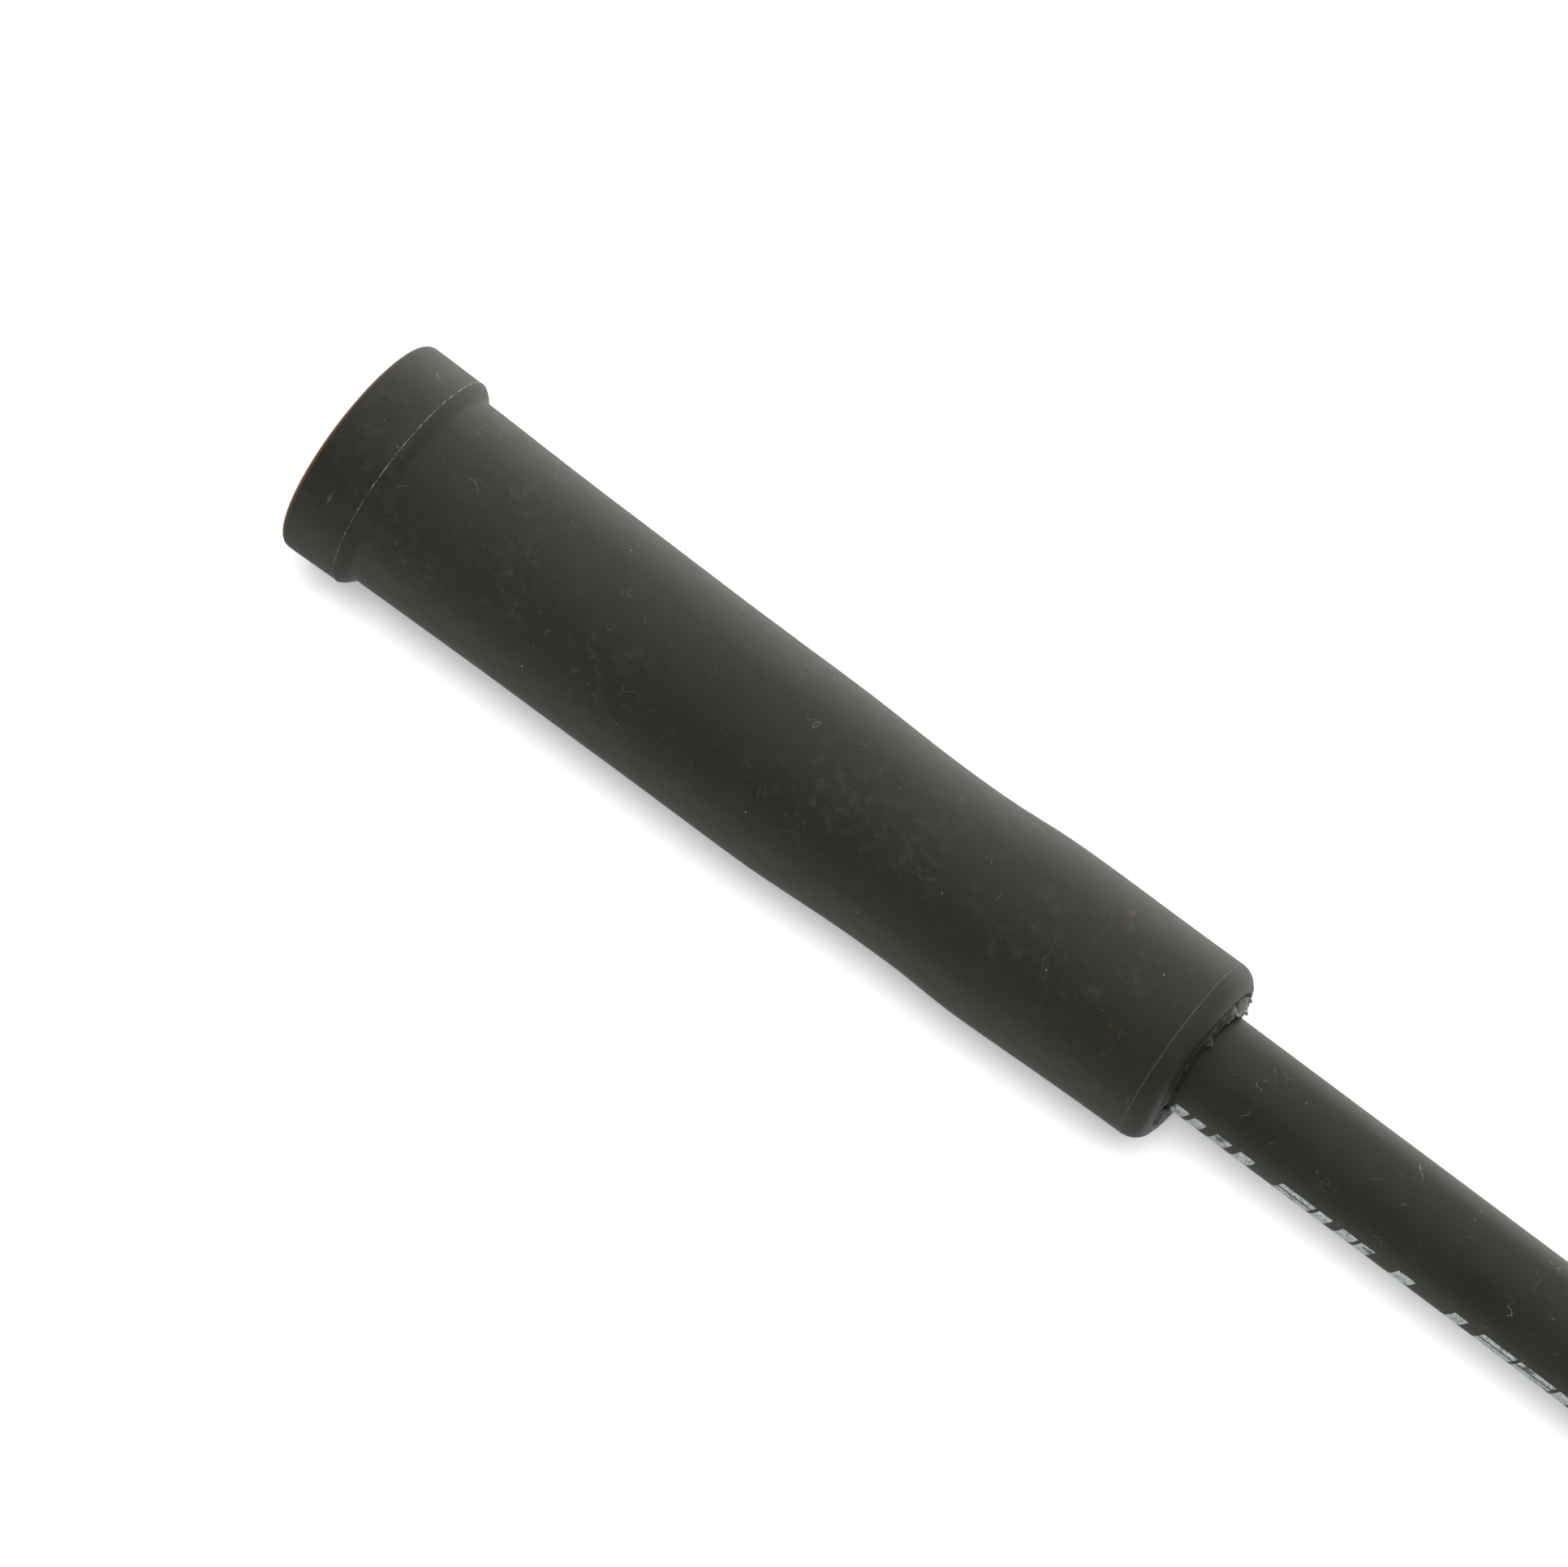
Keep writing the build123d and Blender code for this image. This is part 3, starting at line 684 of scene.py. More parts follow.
# scratches: short pieces of the thin lines where a stretched noise crosses its middle value
scratch_way = add(
    tree, "ShaderNodeMapping", {"Scale": (1.0, 0.45, 0.45), "Rotation": (0.3, 0.5, 0.9)},
    {0: in_mm.outputs[0]},
)
scratch = add(
    tree, "ShaderNodeTexNoise", {"Scale": 0.5, "Detail": 1, "Distortion": 0.3},
    {0: scratch_way.outputs[0]},
)
scratch_off = add(tree, "ShaderNodeMath", {"operation": "SUBTRACT", 1: 0.5}, {0: scratch.outputs["Fac"]})
scratch_size = add(tree, "ShaderNodeMath", {"operation": "ABSOLUTE"}, {0: scratch_off.outputs[0]})
scratch_line = add(
    tree, "ShaderNodeMapRange", {1: 0.0, 2: 0.004, 3: 0.16, 4: 0.0}, {0: scratch_size.outputs[0]},
)
scratch_patch = add(tree, "ShaderNodeTexNoise", {"Scale": 0.5, "Detail": 0}, {0: in_mm.outputs[0]})
scratch_few = add(
    tree, "ShaderNodeMath", {"operation": "GREATER_THAN", 1: 0.62}, {0: scratch_patch.outputs["Fac"]},
)
scratched_by = add(
    tree, "ShaderNodeMath", {"operation": "MULTIPLY"},
    {0: scratch_line.outputs[0], 1: scratch_few.outputs[0]},
)
scratched = add(
    tree, "ShaderNodeMix", {"data_type": "RGBA"}, {0: scratched_by.outputs[0], 6: flecked.outputs[2]},
)
scratched.inputs[7].default_value = linear("#85867C")
# the collar's back edge is scuffed nearly white, in a broken line, and the tail's faintly
mouth_mm = mouth_x / mm
tail_mm = tail_x / mm
collar_line = mouth_mm + 4.865
tail_line = mouth_mm + 72.62
spot = add(tree, "ShaderNodeSeparateXYZ", links={0: in_mm.outputs[0]})
broken = add(
    tree, "ShaderNodeTexNoise", {"Scale": 2.6, "Detail": 4, "Roughness": 0.75}, {0: in_mm.outputs[0]},
)
collar_skew = add(
    tree, "ShaderNodeMath", {"operation": "MULTIPLY_ADD", 1: -mouth_skew},
    {0: spot.outputs[1], 2: spot.outputs[0]},
)
collar_edge = add(
    tree, "ShaderNodeMath", {"operation": "COMPARE", 1: collar_line, 2: 0.025},
    {0: collar_skew.outputs[0]},
)
collar_break = add(
    tree, "ShaderNodeMapRange", {1: 0.47, 2: 0.66, 3: 0.06, 4: 1.0}, {0: broken.outputs["Fac"]},
)
collar_scuff = add(
    tree, "ShaderNodeMath", {"operation": "MULTIPLY"},
    {0: collar_edge.outputs[0], 1: collar_break.outputs[0]},
)
tail_edge = add(
    tree, "ShaderNodeMath", {"operation": "COMPARE", 1: tail_line, 2: 0.03},
    {0: spot.outputs[0]},
)
tail_break = add(tree, "ShaderNodeMapRange", {1: 0.35, 2: 0.7, 3: 0.04, 4: 0.2}, {0: broken.outputs["Fac"]})
tail_scuff = add(
    tree, "ShaderNodeMath", {"operation": "MULTIPLY"},
    {0: tail_edge.outputs[0], 1: tail_break.outputs[0]},
)
scuff = add(
    tree, "ShaderNodeMath", {"operation": "MAXIMUM"},
    {0: collar_scuff.outputs[0], 1: tail_scuff.outputs[0]},
)
scuffed = add(tree, "ShaderNodeMix", {"data_type": "RGBA"}, {0: scuff.outputs[0], 6: scratched.outputs[2]})
scuffed.inputs[7].default_value = linear("#A3A59C")
# the mouth's rim has a thin rusty tide mark, along its outer edge only. The distributor boot is of
# the same rubber but has no such marks: it lies further than this in Y.
plug_side = 20.0
rim_across = add(tree, "ShaderNodeMath", {"operation": "SUBTRACT", 1: plug_z / mm}, {0: spot.outputs[2]})
rim_spot = add(tree, "ShaderNodeCombineXYZ", links={1: spot.outputs[1], 2: rim_across.outputs[0]})
rim_radius = add(tree, "ShaderNodeVectorMath", {"operation": "LENGTH"}, {0: rim_spot.outputs[0]})
rim_outer = add(
    tree, "ShaderNodeMapRange", {1: 7.75, 2: 8.1, 3: 0.0, 4: 1.0}, {0: rim_radius.outputs["Value"]},
)
rim_front = add(tree, "ShaderNodeMapRange", {1: mouth_mm + 0.17, 2: mouth_mm + 0.46, 3: 0.8, 4: 0.0})
tree.links.new(spot.outputs[0], rim_front.inputs[0])
rim = add(
    tree, "ShaderNodeMath", {"operation": "MULTIPLY"},
    {0: rim_front.outputs[0], 1: rim_outer.outputs[0]},
)
rim_near = add(tree, "ShaderNodeMath", {"operation": "LESS_THAN", 1: plug_side}, {0: spot.outputs[1]})
rim_only = add(
    tree, "ShaderNodeMath", {"operation": "MULTIPLY"}, {0: rim.outputs[0], 1: rim_near.outputs[0]},
)
rimmed = add(tree, "ShaderNodeMix", {"data_type": "RGBA"}, {0: rim_only.outputs[0], 6: scuffed.outputs[2]})
rimmed.inputs[7].default_value = linear("#7A4E1C")
# torn rubber is paler and rougher than the moulded skin, most of all on the +Y side
torn_end = add(tree, "ShaderNodeMapRange", {1: tail_mm - 0.2, 2: tail_mm + 0.3, 3: 0.0, 4: 1.0})
tree.links.new(spot.outputs[0], torn_end.inputs[0])
torn_side = add(tree, "ShaderNodeMapRange", {1: 2.0, 2: 4.2, 3: 0.22, 4: 1.0}, {0: spot.outputs[1]})
torn_here = add(
    tree, "ShaderNodeMath", {"operation": "MULTIPLY"}, {0: torn_end.outputs[0], 1: torn_side.outputs[0]},
)
torn = add(
    tree, "ShaderNodeMath", {"operation": "MULTIPLY"}, {0: torn_here.outputs[0], 1: rim_near.outputs[0]},
)
fibres = add(
    tree, "ShaderNodeTexNoise", {"Scale": 4.0, "Detail": 4, "Roughness": 0.8}, {0: in_mm.outputs[0]},
)
torn_some = add(
    tree, "ShaderNodeMath", {"operation": "MULTIPLY"}, {0: torn.outputs[0], 1: fibres.outputs["Fac"]},
)
torn_mix = add(tree, "ShaderNodeMix", {"data_type": "RGBA"}, {0: torn_some.outputs[0], 6: rimmed.outputs[2]})
torn_mix.inputs[7].default_value = linear("#A6A79E")
tree.links.new(torn_mix.outputs[2], shader.inputs["Base Color"])
boot_rough = add(tree, "ShaderNodeMapRange", {1: 0.3, 2: 0.7, 3: 0.42, 4: 0.52}, {0: cloud.outputs["Fac"]})
tree.links.new(boot_rough.outputs[0], shader.inputs["Roughness"])
shader.inputs["IOR"].default_value = 1.5
shader.inputs["Specular Tint"].default_value = olive_gloss
matt = add(tree, "ShaderNodeTexNoise", {"Scale": 4.5, "Detail": 4, "Roughness": 0.6}, {0: in_mm.outputs[0]})
matt_bump = add(
    tree, "ShaderNodeBump", {"Strength": 0.12, "Distance": 0.05 * mm}, {"Height": matt.outputs["Fac"]},
)
dust_bump = add(
    tree, "ShaderNodeBump", {"Strength": 0.4, "Distance": 0.04 * mm},
    {"Height": dust.outputs[0], "Normal": matt_bump.outputs[0]},
)
tree.links.new(dust_bump.outputs[0], shader.inputs["Normal"])
finish_with(plug_boot, boot_rubber)
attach(plug_boot, "plug_boot")
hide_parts("plug_boot")

# Shreds of the same rubber, left where the flash tore: thin curled slivers round the tail's bore.
# Each one: its turn round the bore in degrees from the top towards +Y, then its width, height and
# lean in millimetres.
shreds = [(74, 1.1, 0.45, 0.25), (94, 0.7, 0.35, -0.1), (58, 0.6, 0.3, 0.2), (16, 0.9, 0.22, 0.05)]
ring_r = 4.9
root_r = 4.95
root_deep = 0.25
for count, (turn, width, height, lean) in enumerate(shreds):
    bpy.ops.object.select_all(action="DESELECT")
    bpy.ops.mesh.primitive_grid_add(x_subdivisions=7, y_subdivisions=6, size=1)
    shred = bpy.context.active_object
    shred.name = f"torn_shred_{count + 1}"
    around = math.radians(turn)
    for vertex in shred.data.vertices:
        across, up = vertex.co.x, vertex.co.y + 0.5
        ragged = noise.noise(Vector((across * 5, up * 3, count * 7.3)))
        here = around + across * width * (1 - 0.75 * up * up) / ring_r
        reach = root_r - 0.5 * up + lean * up * up + 0.14 * ragged
        ahead = tail_x - root_deep * mm + (height + root_deep) * up * (1 + 0.35 * ragged) * mm
        vertex.co = Vector((ahead, reach * mm * math.sin(here), plug_z + reach * mm * math.cos(here)))
    wall = shred.modifiers.new("wall", "SOLIDIFY")
    wall.thickness = 0.12 * mm
    wall.offset = 0
    soft = shred.modifiers.new("soft", "SUBSURF")
    soft.levels = soft.render_levels = 1
    bpy.context.view_layer.objects.active = shred
    for name in ("wall", "soft"):
        bpy.ops.object.modifier_apply(modifier=name)
    face_outward(shred, 60)
    finish_with(shred, boot_rubber)
    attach(shred, "plug_boot")

# The plug terminal: one strip of stainless steel, pressed into a socket for the plug's nut and a
# crimp round the cut lead. A spring wire ring sits in its groove and snaps over the nut.
steel, tree, shader = new_material("pressed_stainless_steel")
place = add(tree, "ShaderNodeTexCoord")
in_mm = add(
    tree, "ShaderNodeVectorMath", {"operation": "SCALE", "Scale": 1000}, {0: place.outputs["Object"]},
)
rolled = add(tree, "ShaderNodeMapping", {"Scale": (0.6, 9, 9)}, {0: in_mm.outputs[0]})
roll = add(tree, "ShaderNodeTexNoise", {"Scale": 1.0, "Detail": 4, "Roughness": 0.6}, {0: rolled.outputs[0]})
roll_colour = add(tree, "ShaderNodeValToRGB", links={0: roll.outputs["Fac"]})
roll_colour.color_ramp.elements[0].color = linear("#9C9A96")
roll_colour.color_ramp.elements[1].color = linear("#C6C4BF")
tree.links.new(roll_colour.outputs[0], shader.inputs["Base Color"])
shader.inputs["Metallic"].default_value = 1.0
roll_rough = add(tree, "ShaderNodeMapRange", {1: 0.3, 2: 0.7, 3: 0.24, 4: 0.42}, {0: roll.outputs["Fac"]})
tree.links.new(roll_rough.outputs[0], shader.inputs["Roughness"])
roll_bump = add(
    tree, "ShaderNodeBump", {"Strength": 0.12, "Distance": 0.02 * mm}, {"Height": roll.outputs["Fac"]},
)
tree.links.new(roll_bump.outputs[0], shader.inputs["Normal"])


def refinish(node, material):
    """Gives a CAD node's object a better material, its mesh untouched."""
    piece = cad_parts[node]
    if piece.material_slots:
        piece.material_slots[0].material = material
    else:
        piece.data.materials.append(material)


refinish("plug_terminal", steel)

spring, tree, shader = new_material("bright_spring_wire")
place = add(tree, "ShaderNodeTexCoord")
drawn = add(tree, "ShaderNodeTexNoise", {"Scale": 2500, "Detail": 3}, {0: place.outputs["Object"]})
drawn_colour = add(tree, "ShaderNodeValToRGB", links={0: drawn.outputs["Fac"]})
drawn_colour.color_ramp.elements[0].color = linear("#8E8F92")
drawn_colour.color_ramp.elements[1].color = linear("#BFC0C2")
tree.links.new(drawn_colour.outputs[0], shader.inputs["Base Color"])
shader.inputs["Metallic"].default_value = 1.0
drawn_rough = add(tree, "ShaderNodeMapRange", {1: 0.3, 2: 0.7, 3: 0.2, 4: 0.34}, {0: drawn.outputs["Fac"]})
tree.links.new(drawn_rough.outputs[0], shader.inputs["Roughness"])
refinish("terminal_snap_ring", spring)

# The lead's layers where it runs inside each boot: jacket, glass braid, insulation, a core wound
# with resistance wire, and aramid strands. The core is folded back under the crimp.
refinish("plug_end_jacket", jacket_rubber)
refinish("distributor_end_jacket", jacket_rubber)

# glass braid: white yarn plaited round the insulation, 16 yarns at a pitch of 6 mm, greyed by
# rubber. The yarns wind round the lead's two ends, which lie on either side of the coil's centre.
yarns = 16
yarn_pitch = 6.0
braid, tree, shader = new_material("plaited_glass_braid")
place = add(tree, "ShaderNodeTexCoord")
in_mm = add(
    tree, "ShaderNodeVectorMath", {"operation": "SCALE", "Scale": 1000}, {0: place.outputs["Object"]},
)
spot = add(tree, "ShaderNodeSeparateXYZ", links={0: in_mm.outputs[0]})
far_end = add(
    tree, "ShaderNodeMath", {"operation": "GREATER_THAN", 1: coil_centre.y / mm}, {0: spot.outputs[1]},
)
axis_y = add(tree, "ShaderNodeMapRange", {1: 0, 2: 1, 3: 0, 4: nipple_y / mm}, {0: far_end.outputs[0]})
axis_z = add(
    tree, "ShaderNodeMapRange", {1: 0, 2: 1, 3: plug_z / mm, 4: nipple_z / mm}, {0: far_end.outputs[0]},
)
off_y = add(tree, "ShaderNodeMath", {"operation": "SUBTRACT"}, {0: spot.outputs[1], 1: axis_y.outputs[0]})
off_z = add(tree, "ShaderNodeMath", {"operation": "SUBTRACT"}, {0: spot.outputs[2], 1: axis_z.outputs[0]})
turn = add(tree, "ShaderNodeMath", {"operation": "ARCTAN2"}, {0: off_y.outputs[0], 1: off_z.outputs[0]})
turn_yarns = add(tree, "ShaderNodeMath", {"operation": "MULTIPLY", 1: yarns / 2}, {0: turn.outputs[0]})
run_yarns = add(
    tree, "ShaderNodeMath", {"operation": "MULTIPLY", 1: yarns * math.pi / yarn_pitch}, {0: spot.outputs[0]},
)
left_yarn = add(
    tree, "ShaderNodeMath", {"operation": "ADD"}, {0: turn_yarns.outputs[0], 1: run_yarns.outputs[0]},
)
right_yarn = add(
    tree, "ShaderNodeMath", {"operation": "SUBTRACT"},
    {0: turn_yarns.outputs[0], 1: run_yarns.outputs[0]},
)
left_wave = add(tree, "ShaderNodeMath", {"operation": "SINE"}, {0: left_yarn.outputs[0]})
right_wave = add(tree, "ShaderNodeMath", {"operation": "SINE"}, {0: right_yarn.outputs[0]})
plait = add(
    tree, "ShaderNodeMath", {"operation": "MAXIMUM"},
    {0: left_wave.outputs[0], 1: right_wave.outputs[0]},
)
plait_colour = add(tree, "ShaderNodeValToRGB", links={0: plait.outputs[0]})
plait_colour.color_ramp.elements[0].color = linear("#6D6C64")
plait_colour.color_ramp.elements[1].color = linear("#D6D4C8")
tree.links.new(plait_colour.outputs[0], shader.inputs["Base Color"])
shader.inputs["Roughness"].default_value = 0.6
plait_bump = add(
    tree, "ShaderNodeBump", {"Strength": 0.8, "Distance": 0.1 * mm}, {"Height": plait.outputs[0]},
)
tree.links.new(plait_bump.outputs[0], shader.inputs["Normal"])

# insulation: EPDM, extruded, off-white with the grain of the die
insulation, tree, shader = new_material("extruded_epdm_insulation")
place = add(tree, "ShaderNodeTexCoord")
drag = add(tree, "ShaderNodeMapping", {"Scale": (150, 2500, 2500)}, {0: place.outputs["Object"]})
die = add(tree, "ShaderNodeTexNoise", {"Scale": 1.0, "Detail": 3}, {0: drag.outputs[0]})
die_colour = add(tree, "ShaderNodeValToRGB", links={0: die.outputs["Fac"]})
die_colour.color_ramp.elements[0].color = linear("#B9B4A6")
die_colour.color_ramp.elements[1].color = linear("#D8D3C5")
tree.links.new(die_colour.outputs[0], shader.inputs["Base Color"])
shader.inputs["Roughness"].default_value = 0.55
die_bump = add(
    tree, "ShaderNodeBump", {"Strength": 0.2, "Distance": 0.03 * mm}, {"Height": die.outputs["Fac"]},
)
tree.links.new(die_bump.outputs[0], shader.inputs["Normal"])

# resistance wire: a hair-thin nickel alloy, close wound; 0.3 mm bands, as its own pitch is too
# fine to show
winding, tree, shader = new_material("close_wound_resistance_wire")
place = add(tree, "ShaderNodeTexCoord")
bands = add(
    tree, "ShaderNodeTexWave", {"bands_direction": "X", "Scale": 520, "Distortion": 0.3},
    {0: place.outputs["Object"]},
)
bands_colour = add(tree, "ShaderNodeValToRGB", links={0: bands.outputs["Fac"]})
bands_colour.color_ramp.elements[0].color = linear("#4E4A44")
bands_colour.color_ramp.elements[1].color = linear("#A79F92")
tree.links.new(bands_colour.outputs[0], shader.inputs["Base Color"])
shader.inputs["Metallic"].default_value = 1.0
shader.inputs["Roughness"].default_value = 0.36
bands_bump = add(
    tree, "ShaderNodeBump", {"Strength": 0.6, "Distance": 0.05 * mm}, {"Height": bands.outputs["Fac"]},
)
tree.links.new(bands_bump.outputs[0], shader.inputs["Normal"])

# core: ferrite-loaded rubber, dark brown and dull with a fine grit
core, tree, shader = new_material("ferrite_loaded_core")
place = add(tree, "ShaderNodeTexCoord")
grit = add(tree, "ShaderNodeTexNoise", {"Scale": 6000, "Detail": 3}, {0: place.outputs["Object"]})
grit_colour = add(tree, "ShaderNodeValToRGB", links={0: grit.outputs["Fac"]})
grit_colour.color_ramp.elements[0].color = linear("#201C1A")
grit_colour.color_ramp.elements[1].color = linear("#3A322D")
tree.links.new(grit_colour.outputs[0], shader.inputs["Base Color"])
shader.inputs["Roughness"].default_value = 0.7
grit_bump = add(
    tree, "ShaderNodeBump", {"Strength": 0.3, "Distance": 0.03 * mm}, {"Height": grit.outputs["Fac"]},
)
tree.links.new(grit_bump.outputs[0], shader.inputs["Normal"])

# strands: aramid yarn, golden and silky along its length
aramid, tree, shader = new_material("aramid_yarn")
place = add(tree, "ShaderNodeTexCoord")
pulled = add(tree, "ShaderNodeMapping", {"Scale": (400, 12000, 12000)}, {0: place.outputs["Object"]})
yarn = add(tree, "ShaderNodeTexNoise", {"Scale": 1.0, "Detail": 2}, {0: pulled.outputs[0]})
yarn_colour = add(tree, "ShaderNodeValToRGB", links={0: yarn.outputs["Fac"]})
yarn_colour.color_ramp.elements[0].color = linear("#A8812F")
yarn_colour.color_ramp.elements[1].color = linear("#E0BC5E")
tree.links.new(yarn_colour.outputs[0], shader.inputs["Base Color"])
shader.inputs["Roughness"].default_value = 0.45
yarn_bump = add(
    tree, "ShaderNodeBump", {"Strength": 0.4, "Distance": 0.03 * mm}, {"Height": yarn.outputs["Fac"]},
)
tree.links.new(yarn_bump.outputs[0], shader.inputs["Normal"])
for end in ("plug_end", "distributor_end"):
    refinish(f"{end}_braid", braid)
    refinish(f"{end}_insulation", insulation)
    refinish(f"{end}_winding", winding)
    refinish(f"{end}_core", core)
    refinish(f"{end}_strands", aramid)

# The distributor boot: a short moulded nipple of the same rubber, with a beaded mouth that seals
# on the distributor cap's tower, ribs to pull it by, and a neck that grips the lead.
nipple_profile = [(0.25, 7.1), (0, 7.6), (0, 8.6)] + rounded((0.8, 8.7), 0.8, 180, 90)
nipple_profile += [(2.2, 9.5)] + rounded((2.4, 9.1), 0.4, 90, 20, 4) + [(3.1, 9.05), (4.0, 9.0), (7.0, 9.0)]
# three grooves leave the ribs
for groove in (8.0, 10.4, 12.8):
    nipple_profile += [(groove, 9.0), (groove + 0.2, 8.85), (groove + 0.45, 8.72), (groove + 1.0, 8.7)]
    nipple_profile += [(groove + 1.3, 8.78), (groove + 1.6, 8.95), (groove + 1.8, 9.0)]
# the shoulder and the neck
nipple_profile += [(16.2, 9.0), (17.2, 8.97), (18.2, 8.77), (19.2, 8.4), (20.2, 7.92), (21.2, 7.4)]
nipple_profile += [(22.2, 6.9), (23.2, 6.5), (24.2, 6.26), (25.4, 6.18), (29, 6.12), (33, 6.04)]
nipple_profile += [(34.4, 6.02)] + rounded((35.2, 5.2), 0.8, 90, 0)
# the bore, from the lead's end to the mouth, with its sealing bead
nipple_profile += [(36, 4.9), (35.85, 4.55), (35.4, 4.2), (34.8, 4.08), (30, 4.08), (28.2, 4.08)]
nipple_profile += [(25.7, 4.9), (20, 4.9), (14.7, 4.9), (14.5, 5.1), (14.5, 6.8), (14.3, 7.0), (9, 7.0)]
nipple_profile += [(4.4, 7.0)] + rounded((3.9, 6.98), 0.2, 0, 180, 4) + [(3.4, 7.0), (0.9, 7.0)]
nipple = lathe("distributor_nipple", nipple_profile, nipple_low.x, nipple_y, nipple_z)
for vertex in nipple.data.vertices:
    spot = vertex.co
    out = Vector((0, spot.y - nipple_y, spot.z - nipple_z))
    radius = out.length / mm
    if radius > 5.5:
        along = (spot.x - nipple_low.x) / mm
        out.normalize()
        spot += out * 0.04 * mm * noise.noise(Vector((along * 0.15, out.y * 1.3, out.z * 1.3 + 5)))
        # the mould's parting line runs along both flanks
        if abs(out.z) < 0.02 and along > 3.2:
            spot += out * 0.05 * mm
face_outward(nipple, 42)
finish_with(nipple, boot_rubber)
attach(nipple, "distributor_boot")
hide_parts("distributor_boot")

# The distributor contact: a split brass tip that springs into the tower, crimped on the lead.
# Pressed brass sheet, bright where it rubs and browned by heat and air elsewhere.
brass, tree, shader = new_material("pressed_brass_sheet")
place = add(tree, "ShaderNodeTexCoord")
tarnish = add(
    tree, "ShaderNodeTexNoise", {"Scale": 420, "Detail": 5, "Roughness": 0.65},
    {0: place.outputs["Object"]},
)
tarnish_colour = add(tree, "ShaderNodeValToRGB", links={0: tarnish.outputs["Fac"]})
tarnish_colour.color_ramp.elements[0].position = 0.32
tarnish_colour.color_ramp.elements[0].color = linear("#7A5B2C")
tarnish_colour.color_ramp.elements[1].position = 0.62
tarnish_colour.color_ramp.elements[1].color = linear("#D2AE62")
tree.links.new(tarnish_colour.outputs[0], shader.inputs["Base Color"])
shader.inputs["Metallic"].default_value = 1.0
tarnish_rough = add(
    tree, "ShaderNodeMapRange", {1: 0.35, 2: 0.65, 3: 0.45, 4: 0.24}, {0: tarnish.outputs["Fac"]},
)
tree.links.new(tarnish_rough.outputs[0], shader.inputs["Roughness"])
tarnish_bump = add(
    tree, "ShaderNodeBump", {"Strength": 0.15, "Distance": 0.03 * mm}, {"Height": tarnish.outputs["Fac"]},
)
tree.links.new(tarnish_bump.outputs[0], shader.inputs["Normal"])
refinish("distributor_contact", brass)

on_the_lead = [coil_tie, tie_head, tie_tail, nipple, "distributor_contact"]
on_the_lead += [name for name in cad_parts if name.startswith("distributor_end_")]

# The surface: a plain white board, lit so that it stays pale, with a hint of its paper grain.
bpy.ops.object.select_all(action="DESELECT")
bpy.ops.mesh.primitive_plane_add(size=12, location=(0, 0, 0))
board = bpy.context.active_object
board.name = "white_board"
card, tree, shader = new_material("white_card")
place = add(tree, "ShaderNodeTexCoord")
grain = add(tree, "ShaderNodeTexNoise", {"Scale": 900, "Detail": 2}, {0: place.outputs["Object"]})
grain_colour = add(tree, "ShaderNodeValToRGB", links={0: grain.outputs["Fac"]})
grain_colour.color_ramp.elements[0].color = linear("#F4F4F3")
grain_colour.color_ramp.elements[1].color = linear("#F8F8F7")
tree.links.new(grain_colour.outputs[0], shader.inputs["Base Color"])
shader.inputs["Roughness"].default_value = 0.9
shader.inputs["Specular IOR Level"].default_value = 0.1
shader.inputs["Emission Color"].default_value = (1, 1, 1, 1)
shader.inputs["Emission Strength"].default_value = 0.2
finish_with(board, card)
board.visible_glossy = False

# Soft studio light: a white tent round the piece, brightest low on the +Y side and dimmest opposite,
# and one soft lamp nearly overhead that lights the board.
surround = bpy.data.worlds.new("white_tent")
surround.use_nodes = True
tree = surround.node_tree
tree.nodes.clear()
way = add(tree, "ShaderNodeTexCoord")
way_parts = add(tree, "ShaderNodeSeparateXYZ", links={0: way.outputs["Generated"]})
sideways = add(tree, "ShaderNodeMapRange", {1: -1, 2: 1, 3: 0, 4: 1}, {0: way_parts.outputs[1]})
tent = add(tree, "ShaderNodeValToRGB", links={0: sideways.outputs[0]})
tent.color_ramp.interpolation = "EASE"
tent.color_ramp.elements.remove(tent.color_ramp.elements[1])
tent.color_ramp.elements[0].color = (0.5, 0.5, 0.5, 1)
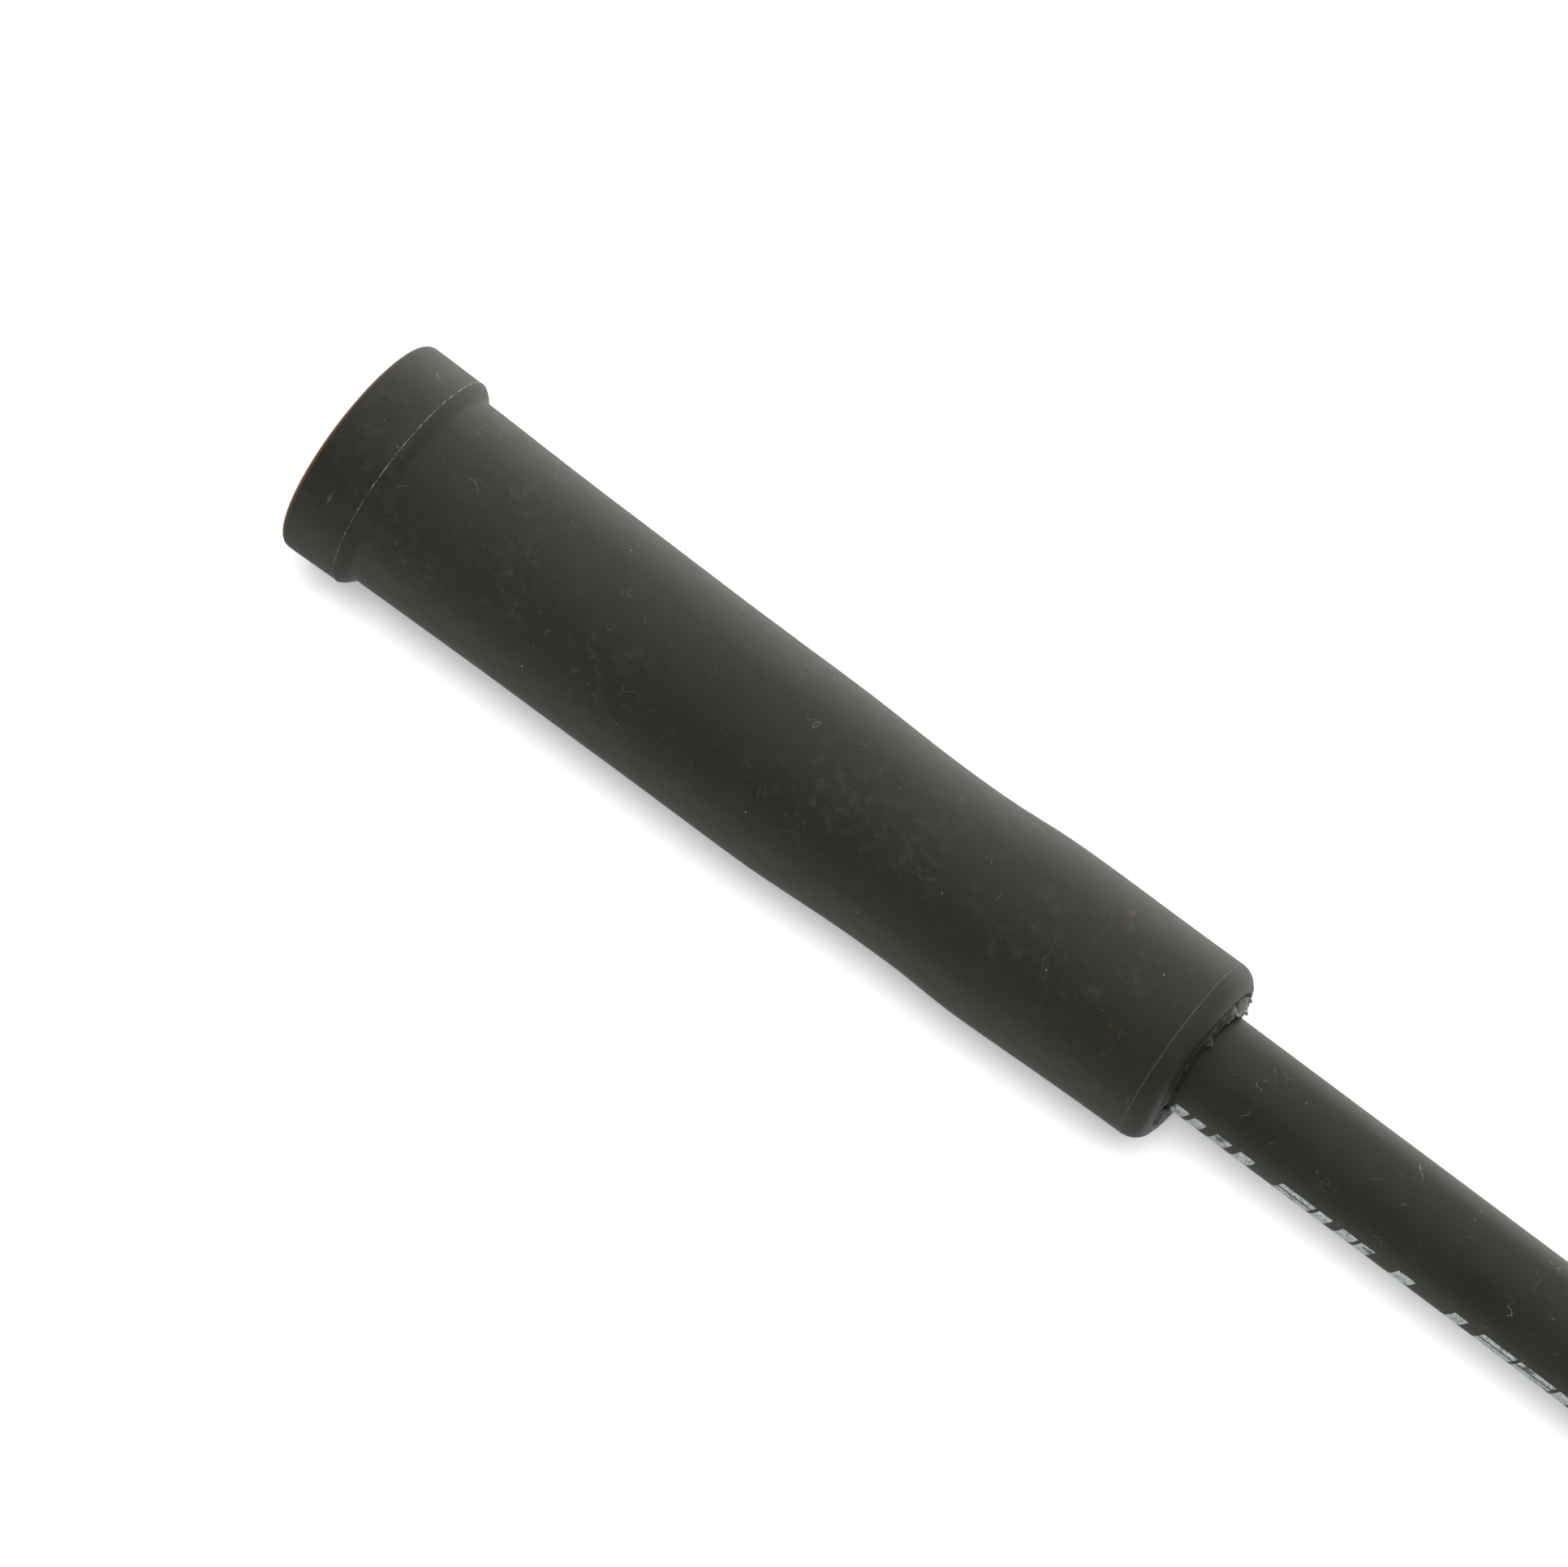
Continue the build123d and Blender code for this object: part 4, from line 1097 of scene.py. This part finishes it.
# the tent's brightness, from the -Y side at 0 to the +Y side at 1
tent_levels = ((0.15, 0.29), (0.3, 0.25), (0.5, 0.46), (0.72, 0.72), (0.9, 0.96), (1.0, 1.25))
for position, level in tent_levels:
    stop = tent.color_ramp.elements.new(position)
    stop.color = (level, level, level, 1)
below = add(tree, "ShaderNodeMapRange", {1: 0.15, 2: -0.2, 3: 1.0, 4: 1.65}, {0: way_parts.outputs[2]})
tent_light = add(
    tree, "ShaderNodeMath", {"operation": "MULTIPLY"}, {0: tent.outputs[0], 1: below.outputs[0]},
)
path = add(tree, "ShaderNodeLightPath")
seen = add(
    tree, "ShaderNodeMath", {"operation": "MAXIMUM"},
    {0: tent_light.outputs[0], 1: path.outputs["Is Camera Ray"]},
)
glow = add(tree, "ShaderNodeBackground", links={"Strength": seen.outputs[0]})
glow.inputs["Color"].default_value = (1, 1, 1, 1)
add(tree, "ShaderNodeOutputWorld", links={"Surface": glow.outputs[0]})
bpy.context.scene.world = surround

# both the lamp and the camera are turned to the middle of the sleeve
target = Vector((1.87, -1.45, 8.6)) * mm
softbox_far = 1.7
lamp = bpy.data.lights.new("overhead_softbox", "AREA")
lamp.shape = "SQUARE"
lamp.size = 0.8
lamp.energy = 30
softbox = bpy.data.objects.new("overhead_softbox", lamp)
softbox.location = target + softbox_far * Vector((0.11, 0.174, 0.978))
softbox.rotation_euler = (target - softbox.location).to_track_quat("-Z", "Y").to_euler()
softbox.visible_camera = False
softbox.visible_glossy = False
bpy.context.scene.collection.objects.link(softbox)

# The camera looks almost straight down from a little beyond the tail, 0.62 m away, and is rolled so
# that the lead runs off to the lower right.
tilt = math.radians(10.15)
roll = math.radians(35.98)
back = Vector((math.sin(tilt), 0, math.cos(tilt)))
down_axis = Vector((math.cos(tilt), 0, -math.sin(tilt)))
across = Vector((0, 1, 0))
right = math.cos(roll) * down_axis + math.sin(roll) * across
up = -math.sin(roll) * down_axis + math.cos(roll) * across
view_width = 109.2 * mm
lens = bpy.data.cameras.new("camera")
lens.lens = 206
lens.sensor_width = 36
distance = view_width * lens.lens / lens.sensor_width
lens.clip_start = 0.05
lens.clip_end = 50
camera = bpy.data.objects.new("camera", lens)
camera.matrix_world = Matrix(
    [(right[k], up[k], back[k], (target + distance * back)[k]) for k in range(3)] + [(0, 0, 0, 1)]
)
bpy.context.scene.collection.objects.link(camera)
bpy.context.scene.camera = camera
bpy.context.scene.view_settings.view_transform = "Standard"
